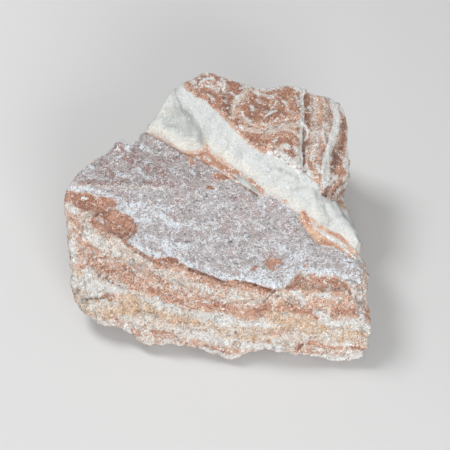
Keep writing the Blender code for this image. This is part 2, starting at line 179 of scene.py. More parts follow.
# outlines of what lies on the stone, in squares
outlines = {
    # the grey skin that still covers the flat face
    "skin": [
        (60, 190), (70, 172), (90, 155), (118, 134), (136, 130), (145, 133.5), (150, 136),
        (160, 141), (168, 145), *slopeFoot, (361, 280), (353, 288),
        (347, 284), (341, 279.5), (333, 276), (322, 275), (312, 275.5), (306, 274), (300, 270),
        (296, 274), (291, 278), (288, 284), (282, 289), (272, 289), (265, 288), (255, 284),
        (245, 281.5), (233, 280.5), (225, 282.5), (218, 280), (208, 275.5), (200, 272.5),
        (192, 270), (187, 268.5), (182, 264.5), (178, 260.5), (172, 258), (163, 258.5),
        (156, 260.5), (150, 258.5), (145, 254.5), (139, 250.5), (132, 248.5), (129, 243.5),
        (127, 238.5), (131, 237), (134, 233), (137, 230), (134, 224), (130, 217), (124, 212),
        (117, 210), (115, 208), (117, 203), (112, 199.5), (104, 197), (95, 194), (88, 192),
        (80, 191.5), (68, 192),
    ],
    # the coarse corner of it, which dips away to the back
    "coarse": [
        (50, 186), (120, 186.5), (160, 187.5), (200, 187), (214, 170), (150, 110), (50, 120),
    ],
    # the brown crust on the white layer
    "crust": [
        (301, 171), (292, 164), (283, 158), (272, 154), (262, 150), (253, 145), (246, 138),
        (240, 133), (234, 127), (228, 119), (221, 113), (213, 106), (205, 101), (197, 97),
        (189, 91), (184, 85), (188, 66), (302, 70),
    ],
    # the ribbed flank at the right
    "ribs": [
        (303, 70), (303, 171), (308, 176), (318, 184), (323, 196), (332, 201), (342, 198),
        (362, 190), (362, 100), (345, 80),
    ],
    # everything above the flat face
    "upper": [
        (145, 133.5), (160, 141), *slopeFoot, (380, 262), (380, 40), (120, 40), (128, 124),
    ],
}

# rows where each bed of the front begins, at each of the columns; the last is the lowest edge
beds = {
    "columns": (64, 80, 100, 125, 150, 175, 200, 225, 250, 275, 300, 325, 350, 370),
    "rows": [
        (212, 216, 232, 238, 258, 268, 274, 284, 287, 291, 286, 290, 292, 290),
        (255, 262, 258, 263, 272, 284, 297, 300, 307, 303, 303, 303, 302, 305),
        (262, 268, 275, 287, 296, 302, 309, 311, 321, 312, 313, 318, 319, 322),
        (285, 295, 298, 293, 303, 310, 322, 328, 328, 318, 317, 324, 328, 335),
        (300, 310, 318, 318, 324, 327, 330, 337, 342, 341, 340, 345, 346, 350),
        (306, 314, 325, 333, 347, 345, 351, 360, 354, 353, 357, 360, 364, 360),
    ],
    "depths": (0.0, 9.5, 16.5, 20.5, 26.0, 36.0),  # mm below the flat face, on hidden sides
    # how much of each stain a bed has, from the flat face down
    "stops": (0.0, 0.5, 0.95, 1.15, 1.8, 2.05, 2.35, 2.8, 3.1, 3.5, 3.9, 4.15, 4.6, 5.0),
    "salmon": (0.52, 0.42, 0.58, 0.95, 1.0, 0.6, 0.2, 0.18, 0.2, 0.2, 0.34, 0.5, 0.55, 0.42),
    "rust": (0.28, 0.2, 0.28, 0.5, 0.55, 0.32, 0.1, 0.08, 0.1, 0.12, 0.15, 0.25, 0.34, 0.3),
    "cream": (0.4, 0.45, 0.3, 0.1, 0.1, 0.3, 0.5, 0.5, 0.42, 0.5, 0.6, 0.5, 0.34, 0.3),
    "ochre": (0.2, 0.2, 0.1, 0.0, 0.0, 0.1, 0.15, 0.25, 0.62, 0.68, 0.5, 0.25, 0.15, 0.1),
    "chalk": (0.26, 0.24, 0.2, 0.14, 0.14, 0.3, 0.58, 0.56, 0.28, 0.3, 0.38, 0.4, 0.46, 0.5),
    "slateAndShade": (0.22, 0.34, 0.25, 0.06, 0.06, 0.15, 0.28, 0.3, 0.3, 0.2, 0.15, 0.15, 0.15, 0.2),
}

# how the drawing is laid on the stone
laying = {
    "seen": (0.02, 0.22),  # how squarely a face looks at the sheet, from hidden to drawn on
    "level": (0.75, 0.93),  # how squarely it looks up from the beds, from steep to flat
    "skinSeen": 0.5,  # a skin or a rib is drawn only where a face is seen at least this well
    "ribsSeen": 0.3,
    "away": -6.0,  # mm, the distance that counts as far outside an outline
    "stroke": (1.5, 0.1),  # half widths from its middle, where a stroke begins and where it is full
    "offUpper": (0.5, -0.5),  # mm past the white slope and past the skin where the front begins
    "offSkin": (0.3, -0.3),
    "heldOff": 0.75,  # how much the strokes keep off the stains that each bed has of its own
}

# the zones that the material reads from the mesh
zoneNames = ("skin", "coarse", "crust", "ribs", "upper", "bed")


def zonesOf(points, normals):
    # where each part of the stone is: gates from 0 to 1, and distances in mm
    places = onSheet(points)
    sight = eye - points
    sight /= np.linalg.norm(sight, axis=1)[:, None]
    seen = smoothstep(*laying["seen"], np.sum(normals * sight, axis=1))
    depth = (sheetCentre - points) @ beddingNormal
    hiddenCrust = -depth - stone["upperLayer"] + stone["crust"]
    inside = {name: depthInside(places, edge) for name, edge in outlines.items()}
    zones = {
        "places": places,
        "seen": seen,
        "depth": depth,
        "level": smoothstep(*laying["level"], normals @ beddingNormal),
        "skin": np.where(seen > laying["skinSeen"], inside["skin"], laying["away"]),
        "coarse": inside["coarse"],
        "crust": seen * inside["crust"] + (1 - seen) * hiddenCrust,
        "ribs": np.where(seen > laying["ribsSeen"], inside["ribs"], laying["away"]),
        "upper": seen * inside["upper"] - (1 - seen) * depth,
    }
    zones["bed"] = bedOf(zones)
    return zones


def bedOf(zones):
    # 0 at the top of the front, and one more at each bed below it
    columns = zones["places"][:, 0]
    rows = [np.interp(columns, beds["columns"], edge) for edge in beds["rows"]]
    drawnBed = np.zeros(len(columns))
    for top, bottom in zip(rows[:-1], rows[1:]):
        drawnBed += np.clip((zones["places"][:, 1] - top) / (bottom - top), 0.0, 1.0)
    hiddenBed = np.interp(zones["depth"], beds["depths"], range(len(beds["depths"])))
    return zones["seen"] * drawnBed + (1.0 - zones["seen"]) * hiddenBed


# cracks, ridges, dents and humps: (path, half width in squares, height in mm)
runs = [
    ([(84, 201), (99, 205)], 14, -0.8), ([(106, 220), (124, 226)], 14, -1.0),
    ([(118, 146.5), (123, 144)], 4.5, 1.8),
    ([(106, 233), (118, 240), (130, 250), (142, 259), (153, 266)], 3.6, 0.5),
    ([(98, 277), (104, 279.5), (112, 284.5), (122, 289.5)], 2.6, -0.8),
    ([(98, 268), (112, 274), (130, 284)], 6, 0.5), ([(88, 305), (100, 309)], 8, 0.7),
    ([(126, 301), (131, 306)], 9, 0.7), ([(250, 314), (262, 312), (275, 307)], 4, 0.4),
    ([(296, 352), (303, 345.5), (311, 344), (320, 349)], 3, 0.5),
    ([(304.8, 130), (303.6, 150), (304.6, 172)], 1.8, -0.5), ([(304.2, 92), (304.2, 124)], 3.4, 1.1),
    ([(301, 95), (301, 130), (301, 168)], 1.7, 0.4),
    ([(188, 269), (200, 273.5), (212, 278), (226, 284)], 1.8, -0.9),
    ([(234, 282), (248, 283.5), (258, 287.5), (274, 291)], 1.8, -0.9),
    ([(128, 242), (136, 251), (146, 257), (154, 262)], 2.0, -0.8),
    ([(236, 181), (248, 188.5), (258, 195.5)], 1.5, -0.7), ([(240, 175), (250, 183), (259, 191)], 2.0, 0.4),
    ([(275, 290), (268, 296), (260, 305)], 1.6, -0.5), ([(92, 218), (101, 213), (109, 210.5)], 1.8, -0.7),
    ([(95, 222), (103, 218), (110, 216)], 1.8, 0.4), ([(82, 297), (93, 299), (105, 298)], 1.8, -0.9),
    ([(177, 90), (178, 98), (184, 108), (194, 116), (201, 127), (204, 140)], 2.2, 0.5),
    ([(266, 170), (280, 172), (294, 180)], 7, -0.9), ([(282, 186), (296, 189), (310, 188)], 3, -0.5),
    ([(318, 192), (321, 206), (324, 222)], 6, -0.8), ([(212, 118), (226, 132), (244, 150)], 7, 0.5),
    ([(312, 224), (320, 232), (330, 240), (345, 250), (355, 258)], 1.8, 0.6),
    ([(303, 222), (312, 236), (322, 245)], 1.6, -0.5), ([(316, 98), (317, 130), (315, 165)], 1.6, 0.5),
    ([(332, 100), (335, 115), (332, 135), (327, 155), (322, 175)], 1.8, 0.6),
    ([(340, 106), (341, 125), (338, 145), (332, 165)], 1.8, -0.6),
    ([(326, 196), (329, 186), (334, 177)], 1.9, -0.8), ([(228, 341), (240, 347)], 1.8, -0.7),
    ([(357, 272), (358, 290), (360, 315)], 1.6, -0.5),
]

# mm that each kind of surface swings in and out with each kind of roughness
relief = {
    "skin": {"lumps": 0.10, "grit": 0.09},
    "coarse": {"lumps": 0.25, "grit": 0.20},
    "white": {"lumps": 0.24, "grit": 0.06, "flakes": 0.14, "slabs": 0.45},
    "crust": {"lumps": 0.22, "grit": 0.24, "flakes": 0.20},
    "ribs": {"lumps": 0.18, "grit": 0.12, "flakes": 0.20, "fibres": 0.16},
    "side": {"lumps": 0.45, "grit": 0.42, "flakes": 0.55, "leaves": 0.13},
}

# mm across of each kind, and how leaves and fibres run
kinds = {
    "lumps": 4.2,
    "grit": 1.7,
    "flakes": 3.4,
    "slabs": 6.5,
    "leaves": {"inBed": 5.0, "wander": 0.9, "size": 6.0, "edge": 0.6},
    "fibres": {"squares": 5.2, "wander": 0.5, "size": 5.0},
    "gritShift": 40.0,  # so that no two kinds run alike
    "slabShift": 9.0,
}

# mm before and after its outline over which the relief of a zone begins
gates = {
    "skin": (-0.2, 0.2),
    "coarse": (-1.0, 0.6),
    "upper": (-0.5, 0.5),
    "crust": (-0.4, 0.4),
    "ribs": (-0.4, 0.4),
}


def fineRelief(points, zones):
    # mm that each place stands out of the eased solid
    gate = {name: smoothstep(*reach, zones[name]) for name, reach in gates.items()}
    gate["coarse"] *= gate["skin"]
    gate["white"] = gate["upper"] * (1.0 - gate["crust"]) * (1.0 - gate["ribs"])
    gate["side"] = (1.0 - gate["upper"]) * (1.0 - gate["skin"])
    leaf = kinds["leaves"]
    leaves = wave(leaf["inBed"] * zones["bed"], points, leaf["wander"], leaf["size"])
    fibre = kinds["fibres"]
    columns = zones["places"][:, 0]
    swing = {
        "lumps": rough(points, kinds["lumps"]),
        "grit": rough(points + kinds["gritShift"], kinds["grit"], 2),
        "flakes": chips(points, kinds["flakes"]),
        "slabs": chips(points + kinds["slabShift"], kinds["slabs"]),
        "leaves": np.sign(leaves) * np.abs(leaves) ** leaf["edge"],
        "fibres": wave(columns / fibre["squares"], points, fibre["wander"], fibre["size"]),
    }
    rise = np.zeros(len(points))
    for name, heights in relief.items():
        rise += gate[name] * sum(height * swing[kind] for kind, height in heights.items())
    for path, halfWidth, height in runs:
        near = smoothstep(halfWidth, 0.0, pathDistance(zones["places"], path))
        rise += zones["seen"] * height * near
    return rise


# the edge of the grey skin, in mm
lip = {
    "drop": 1.3,  # thickness of the skin
    "edge": 0.35,  # half of the way over which it drops
    "ragged": (0.35, 2.2),  # how far it wanders, and how long its bends are
    "near": (2.6, 0.8),  # from the edge, where the step ends and where it is whole
    "low": (4.0, 2.0),  # the same below the flat face
    "upper": (0.5, -0.5),  # and inside the white slope
}


def sharpenLip(points, zones):
    # the skin's edge is a clean step down to the bare bed
    wander, size = lip["ragged"]
    ragged = zones["skin"] + wander * rough(points, size, 2)
    drop = lip["drop"] * smoothstep(lip["edge"], -lip["edge"], ragged)
    near = smoothstep(*lip["near"], np.abs(zones["skin"])) * zones["seen"]
    near *= smoothstep(*lip["low"], zones["depth"]) * zones["level"]
    near *= smoothstep(*lip["upper"], zones["upper"])
    return points - beddingNormal * (near * (drop - zones["depth"]))[:, None]


# stains laid on with a brush: (path, half width in squares, how much)
marks = {}
marks["salmon"] = [
    # smooth strip under the edge of the skin
    ([(156, 265), (168, 265), (179, 269)], 4.5, 1.1),
    ([(188, 274), (200, 278), (212, 283), (222, 287)], 4.2, 1.15),
    ([(230, 285), (245, 287), (258, 291), (266, 293)], 3.6, 1.0), ([(208, 283), (214, 289)], 3.5, 0.9),
    # around the bare patch at the right
    ([(290, 288), (305, 290), (320, 289), (334, 289), (346, 294)], 6, 1.1),
    ([(298, 282), (316, 281), (340, 286)], 8, 1.1),
    ([(302, 303), (322, 304), (340, 306), (352, 303)], 8, 0.85), ([(336, 314), (350, 315)], 5, 0.8),
    # the orange bed
    ([(95, 264), (108, 268), (122, 276), (138, 284), (156, 292), (176, 300)], 9, 1.0),
    ([(176, 300), (192, 305), (210, 307), (228, 307)], 7.5, 1.1),
    ([(228, 307), (243, 313), (254, 315), (268, 309), (286, 306), (303, 311), (317, 317)], 6.5, 1.1),
    ([(112, 256), (130, 266), (146, 276)], 5, 0.6), ([(236, 298), (252, 302)], 5, 0.55),
    ([(282, 298), (290, 300)], 5, 0.6),
    # stains at the left end
    ([(68, 218), (76, 222), (81, 228)], 4.5, 0.85), ([(73, 230), (80, 240), (88, 247), (97, 252)], 4.2, 0.95),
    ([(89, 255), (92, 262), (94, 270)], 3, 1.0), ([(106, 249), (110, 254)], 3, 0.8),
    ([(98, 229), (112, 236)], 5, 0.75), ([(64, 194), (72, 194), (70, 201)], 3.4, 1.0),
    ([(112, 294), (118, 299)], 5, 0.7), ([(113, 316), (117, 321)], 3.6, 1.1),
    ([(124, 311), (132, 314), (139, 310)], 2.6, 0.95), ([(168, 321), (178, 323), (187, 323)], 2.6, 0.8),
    # low on the front
    ([(134, 332), (150, 336), (170, 336)], 6, 0.74),
    ([(170, 336), (195, 342), (222, 349), (240, 352)], 4.5, 0.66),
    ([(274, 335), (281, 331), (288, 330)], 4.5, 0.85), ([(276, 350), (284, 347)], 3, 0.7),
    ([(300, 352), (312, 350), (322, 353)], 4, 0.8), ([(332, 349), (344, 348)], 3, 0.85),
    ([(352, 348), (362, 343)], 3.5, 0.7),
    # the seam along the foot of the slope
    ([(147, 134), (158, 138), (168, 143), (178, 149), (188, 153)], 2.4, 0.62),
    ([(188, 153), (200, 151), (208, 149), (217, 157), (228, 165)], 3.2, 0.56),
    ([(228, 165), (240, 173), (252, 182), (262, 190)], 3.2, 0.72), ([(214, 176), (228, 178)], 4.5, 0.9),
    ([(262, 194), (276, 196), (288, 203)], 1.8, 0.55),
    # the ledge under the right end of the slope
    ([(303, 216), (306, 224), (313, 232), (322, 240), (334, 246)], 6, 1.0),
    ([(310, 219), (318, 226), (328, 232), (338, 237), (347, 242), (352, 249)], 3.4, 0.75),
    ([(336, 246), (346, 251), (354, 258)], 3.5, 0.8), ([(338, 200), (346, 208)], 3, 0.8),
    # arcs and rims of the crust
    ([(253, 92), (245, 99), (239, 106), (236, 116)], 3.2, 0.85),
    ([(258, 100), (263, 104), (270, 103), (274, 97)], 2.4, 0.85),
    ([(296, 92), (290, 99), (287, 108)], 3, 0.9),
    ([(240, 117), (252, 125), (266, 125), (278, 120), (292, 117), (301, 116)], 3.4, 1.0),
    ([(264, 138), (276, 134.5), (288, 135), (297, 141)], 3.2, 1.0),
    ([(186, 86), (196, 93), (206, 98)], 3, 0.85),
    ([(213, 106), (222, 114), (230, 123), (240, 134), (250, 144), (264, 152)], 2, 0.8),
    ([(282, 112), (296, 113)], 4, 0.55), ([(262, 146), (280, 148)], 6, 0.5),
    # between the ribs
    ([(320, 99), (322, 110), (319, 119), (322, 129), (320, 141), (323, 151), (317, 163)], 3.4, 1.0),
    ([(316, 168), (314, 178), (322, 182)], 3.6, 0.9), ([(327, 99), (330, 108), (333, 122)], 2, 0.8),
    ([(330, 192), (338, 184), (345, 178)], 4, 0.7),
]
marks["rust"] = [
    # the two bare scoops at the left corner
    ([(70, 197), (84, 199), (98, 202), (110, 204)], 7, 1.2), ([(80, 204), (94, 207), (104, 208)], 6, 1.15),
    ([(96, 219), (106, 217), (116, 216), (128, 221)], 6.5, 1.2),
    ([(98, 223), (110, 227), (120, 229), (131, 230)], 7, 1.2), ([(120, 236), (128, 236)], 4, 0.9),
    # the brown strip under the edge of the skin
    ([(125, 241), (133, 248), (142, 254), (152, 259)], 2.8, 1.2),
    ([(156, 261), (166, 260), (175, 261), (183, 267)], 3.6, 1.2),
    ([(186, 269), (199, 273), (212, 278.5), (225, 284)], 2.4, 1.1),
    ([(226, 283.5), (236, 282), (248, 284.5), (260, 288), (270, 290.5)], 2.8, 1.15),
    # the bare patch at the right end of that edge
    ([(298, 281), (304, 277), (316, 280), (332, 281), (342, 285)], 6.5, 0.6),
    ([(288, 287), (298, 287)], 3.4, 1.0), ([(345, 287), (351, 293)], 3.4, 0.9),
    # in the orange bed
    ([(104, 268), (116, 274), (128, 282)], 5, 0.58), ([(150, 290), (166, 297), (182, 303)], 4.5, 0.68),
    ([(205, 305), (222, 306)], 3.6, 0.8), ([(246, 314), (256, 311), (270, 306), (284, 305)], 3.4, 0.95),
    ([(296, 309), (308, 314), (318, 318)], 2.4, 1.0), ([(332, 310), (346, 312)], 3.4, 0.75),
    ([(93, 258), (106, 258)], 2.4, 0.85), ([(103, 296), (112, 294), (110, 300)], 3.4, 0.9),
    # the seam along the foot of the slope
    ([(150, 137.5), (160, 141.5), (170, 147), (180, 153), (190, 156)], 1.8, 0.9),
    ([(190, 156), (200, 155), (207, 153), (214, 160), (223, 166), (232, 172)], 2.6, 1.1),
    ([(206, 145), (209, 153)], 2.4, 0.9), ([(202, 158), (213, 164), (223, 170), (233, 177)], 2.8, 1.0),
    ([(198, 155), (207, 158)], 2.8, 1.0), ([(203, 161), (210, 164)], 3.4, 1.0),
    ([(216, 176), (227, 178)], 3, 0.9), ([(232, 170), (240, 175)], 3, 1.0),
    # the thin second stroke, along the foot of the grey rod, is a painted shadow
    ([(250, 180), (256, 186), (262, 192)], 2.4, 1.1), ([(236, 183), (248, 190), (258, 196)], 1.2, 0.8),
    # the ledge under the right end of the slope
    ([(303, 214), (306, 218), (309, 223)], 2.8, 1.0), ([(322, 240), (328, 243), (332, 247)], 2.6, 0.62),
    ([(330, 232), (340, 237), (348, 244)], 2.2, 0.72),
    # small holes through the skin
    ([(268, 262), (278, 262)], 4.6, 1.15), ([(270, 268), (276, 269)], 3, 0.9),
    ([(251, 270), (256, 267)], 2.4, 0.9), ([(208, 187), (213, 188)], 2.8, 1.0),
    ([(304, 266), (305, 267)], 1.8, 0.9), ([(191, 161), (192, 165)], 2.6, 0.9),
    # low on the front
    ([(296, 350), (302, 343.5), (310, 341), (317, 344), (326, 348), (336, 347)], 2, 1.1),
    ([(150, 331), (172, 334)], 2.2, 0.75), ([(180, 343), (205, 346), (228, 352)], 1.8, 0.8),
    ([(215, 327), (222, 331)], 2, 0.8), ([(354, 296), (357, 312)], 3, 0.75),
    ([(350, 346), (366, 350)], 2, 0.9),
    # brown of the ribs
    ([(307, 98), (309, 112), (308, 126)], 3.4, 1.0), ([(308, 132), (309, 150), (311, 168)], 3, 0.7),
    ([(327, 97), (331, 109), (333, 122), (331, 131), (326, 145), (322, 160), (320, 178)], 1.8, 1.0),
    ([(337, 105), (343, 112), (345, 120)], 3.4, 1.05),
    ([(343, 120), (344, 138), (341, 152), (337, 168)], 4.4, 1.15),
    ([(333, 164), (338, 174), (345, 172)], 4, 0.8), ([(330, 195), (336, 188), (342, 182)], 2.6, 0.9),
]
marks["wine"] = [
    # reddish grains showing through the coarse corner of the skin
    ([(88, 181), (104, 183), (118, 183)], 4, 0.85), ([(104, 164), (112, 174), (126, 178)], 6, 0.62),
    ([(120, 151), (128, 158), (134, 162)], 6, 0.8), ([(134, 150), (138, 156)], 4, 0.6),
    ([(158, 168), (164, 175)], 5, 0.95), ([(146, 167), (150, 172)], 3.4, 0.7),
    ([(146, 184), (168, 183), (178, 184)], 3.4, 0.7), ([(74, 181), (82, 184)], 4, 0.6),
    ([(178, 152), (188, 158), (196, 162)], 3.4, 0.6), ([(160, 160), (176, 160)], 5, 0.45),
    ([(206, 182), (224, 184)], 4, 0.4), ([(216, 196), (236, 200)], 5, 0.35),
]
marks["umberAndShade"] = [
    # painted shade and darker brown in the ribs and the crust
    ([(343, 124), (344, 138), (340, 152), (336, 166)], 2.8, 0.7),
    ([(333, 150), (335, 160), (332, 172)], 3, 0.8), ([(304.8, 97), (305.2, 112), (304.6, 128)], 2.2, 0.85),
    ([(304.2, 130), (303.8, 150), (304.8, 171)], 1.5, 1.2),
    ([(307, 98), (308.5, 116), (307.5, 126)], 2.4, 0.66), ([(305, 131), (305, 146)], 2, 0.8),
    ([(224, 98), (227, 106), (229, 114)], 4, 0.75),
    ([(252, 112), (262, 106), (270, 112), (282, 110)], 5, 0.5), ([(250, 137), (262, 144)], 3.4, 0.5),
    ([(206, 76), (200, 80)], 2.6, 0.6), ([(218, 88), (226, 94)], 4, 0.5),
    ([(325, 194), (328, 187), (332, 180)], 3, 1.0), ([(333, 194), (340, 186), (346, 178)], 1.8, 0.85),
    ([(338, 197), (345, 190)], 1.8, 0.7),
    # painted shadow under the edge of the skin
    ([(128, 242), (136, 249.5), (146, 255.5), (154, 259.5)], 1.2, 0.8),
    ([(156, 260.5), (166, 258.5), (176, 260), (184, 266)], 1.2, 0.75),
    ([(188, 269.5), (199, 272.5), (211, 277), (225, 283.5)], 1.5, 1.25),
    ([(236, 281), (248, 283), (258, 286.5), (270, 290)], 1.4, 1.15),
    ([(291, 284), (297, 277.5), (301, 271.5)], 1.2, 0.5),
    # painted shade along the edges of the scoops
    ([(94, 216), (101, 212), (109, 210.5), (118, 211.5)], 1.6, 0.55),
    ([(130, 216), (134.5, 224), (137.5, 230)], 1.3, 0.45),
    # painted shade in cracks and pockets
    ([(82, 221), (83, 229), (82, 238)], 1.4, 0.5),
    ([(98, 275), (104, 277.5), (111, 282.5), (120, 287)], 1.4, 1.0),
    ([(84, 299), (92, 297.5), (101, 298.5)], 1.6, 1.0), ([(101, 299), (106, 304)], 2, 0.6),
    ([(275.5, 291), (269, 297), (262, 303.5)], 1.2, 0.7),
    ([(236, 181.5), (246, 187.5), (258, 195.5)], 1.1, 0.85), ([(232, 176), (238, 181)], 1.4, 0.8),
    ([(235, 325), (236, 333), (241, 345)], 1.5, 0.75), ([(197, 330), (206, 331)], 1.4, 0.6),
    ([(252, 342), (262, 343.5), (270, 341)], 1.2, 0.7), ([(297, 350), (303, 344)], 1.2, 0.9),
    ([(286, 302), (293, 306)], 2, 0.7), ([(147, 312), (158, 315), (166, 319)], 1.6, 0.6),
]
marks["ochre"] = [
    # honey-coloured crystals
    ([(126, 299), (134, 301), (134, 308), (124, 309)], 7, 1.3),
    ([(148, 309), (158, 313), (170, 318)], 3.4, 1.35), ([(176, 318), (190, 320), (198, 323)], 3.8, 1.2),
    ([(186, 310), (188, 320)], 3, 0.7), ([(74, 270), (81, 274)], 3.4, 1.0),
    ([(98, 285), (99, 293)], 2.2, 0.95), ([(88, 303), (92, 311), (100, 313), (106, 314)], 6, 1.25),
    ([(78, 290), (84, 303)], 5, 0.55), ([(252, 337), (260, 341), (270, 341)], 3.4, 1.3),
    ([(236, 333), (246, 339)], 3.4, 0.8), ([(272, 316), (288, 320), (306, 322), (322, 330)], 8, 0.85),
    ([(298, 326), (312, 334)], 5, 0.7), ([(352, 336), (362, 331)], 5, 0.9),
    ([(340, 340), (352, 340)], 4, 0.6), ([(322, 338), (330, 334)], 3, 0.7),
    ([(214, 330), (226, 330)], 4, 0.6), ([(280, 299), (292, 303)], 4, 0.6),
    ([(252, 295), (266, 298)], 4, 0.5), ([(305, 224), (313, 233), (321, 241)], 4, 0.45),
    ([(352, 248), (359, 255)], 3.5, 0.6),
    # on the white layer
    ([(180, 127), (188, 131)], 2.4, 0.6), ([(204, 142), (208, 148)], 3, 0.8),
    ([(296, 212), (302, 216)], 3, 0.6),
]
marks["cream"] = [
    # lit rims and warm white of the front
    ([(106, 232), (118, 239), (130, 249), (142, 258), (153, 265)], 2.6, 1.2),
    ([(86, 224), (94, 233), (104, 243), (118, 252)], 8, 1.0), ([(86, 226), (90, 236)], 4, 0.9),
    ([(66, 226), (68, 250), (71, 266)], 3, 0.9), ([(150, 268), (160, 274), (176, 278)], 3, 0.6),
    ([(276, 291), (270, 297), (263, 304)], 1.3, 0.9),
    ([(128, 318), (146, 322), (164, 323), (182, 327)], 5, 0.9),
    ([(200, 327), (220, 337), (236, 340)], 6, 0.6), ([(246, 322), (258, 326), (270, 326)], 4, 0.7),
    ([(262, 312), (286, 312), (304, 317), (318, 321)], 2, 0.9), ([(286, 337), (300, 336)], 5, 0.6),
    # the warm foot of the white slope
    ([(158, 112), (168, 114), (174, 110)], 4, 0.7),
    ([(146, 127), (160, 133), (176, 141), (192, 146)], 8, 0.75),
    ([(206, 140), (220, 152), (240, 164), (256, 176)], 5, 0.65),
    ([(262, 187), (280, 194), (300, 206), (320, 215)], 6, 0.55),
    ([(318, 218), (334, 228), (350, 240), (358, 250)], 5, 0.5),
    # pale arcs of the crust
    ([(250, 88), (243, 95), (237, 101), (233, 107), (232, 116)], 3.6, 1.4),
    ([(242, 128), (256, 131.5), (268, 130.5), (281, 126.5), (300, 124)], 3.2, 1.25),
    ([(262, 138), (272, 131.5), (284, 129), (295, 132), (301, 138)], 2.1, 1.05),
    ([(259, 100), (264, 104), (270, 103), (274, 98)], 1.3, 0.7),
    ([(295, 93), (290, 100), (288, 106)], 1.5, 0.75),
    ([(221, 114), (229, 122), (238, 132), (248, 142)], 1.6, 0.5),
    # pale grain in the ribs
    ([(315, 98), (315, 120), (314, 145), (314, 166)], 2.4, 0.9), ([(325, 104), (326, 116)], 2.2, 0.8),
    ([(328, 128), (326, 136)], 2.2, 0.8),
    # the line that divides the skin
    ([(68, 186), (84, 185.5), (110, 187), (140, 187.5), (172, 188)], 1.5, 0.95),
    ([(218, 181), (232, 180)], 1.3, 0.7), ([(258, 268), (266, 270)], 2, 0.6),
]
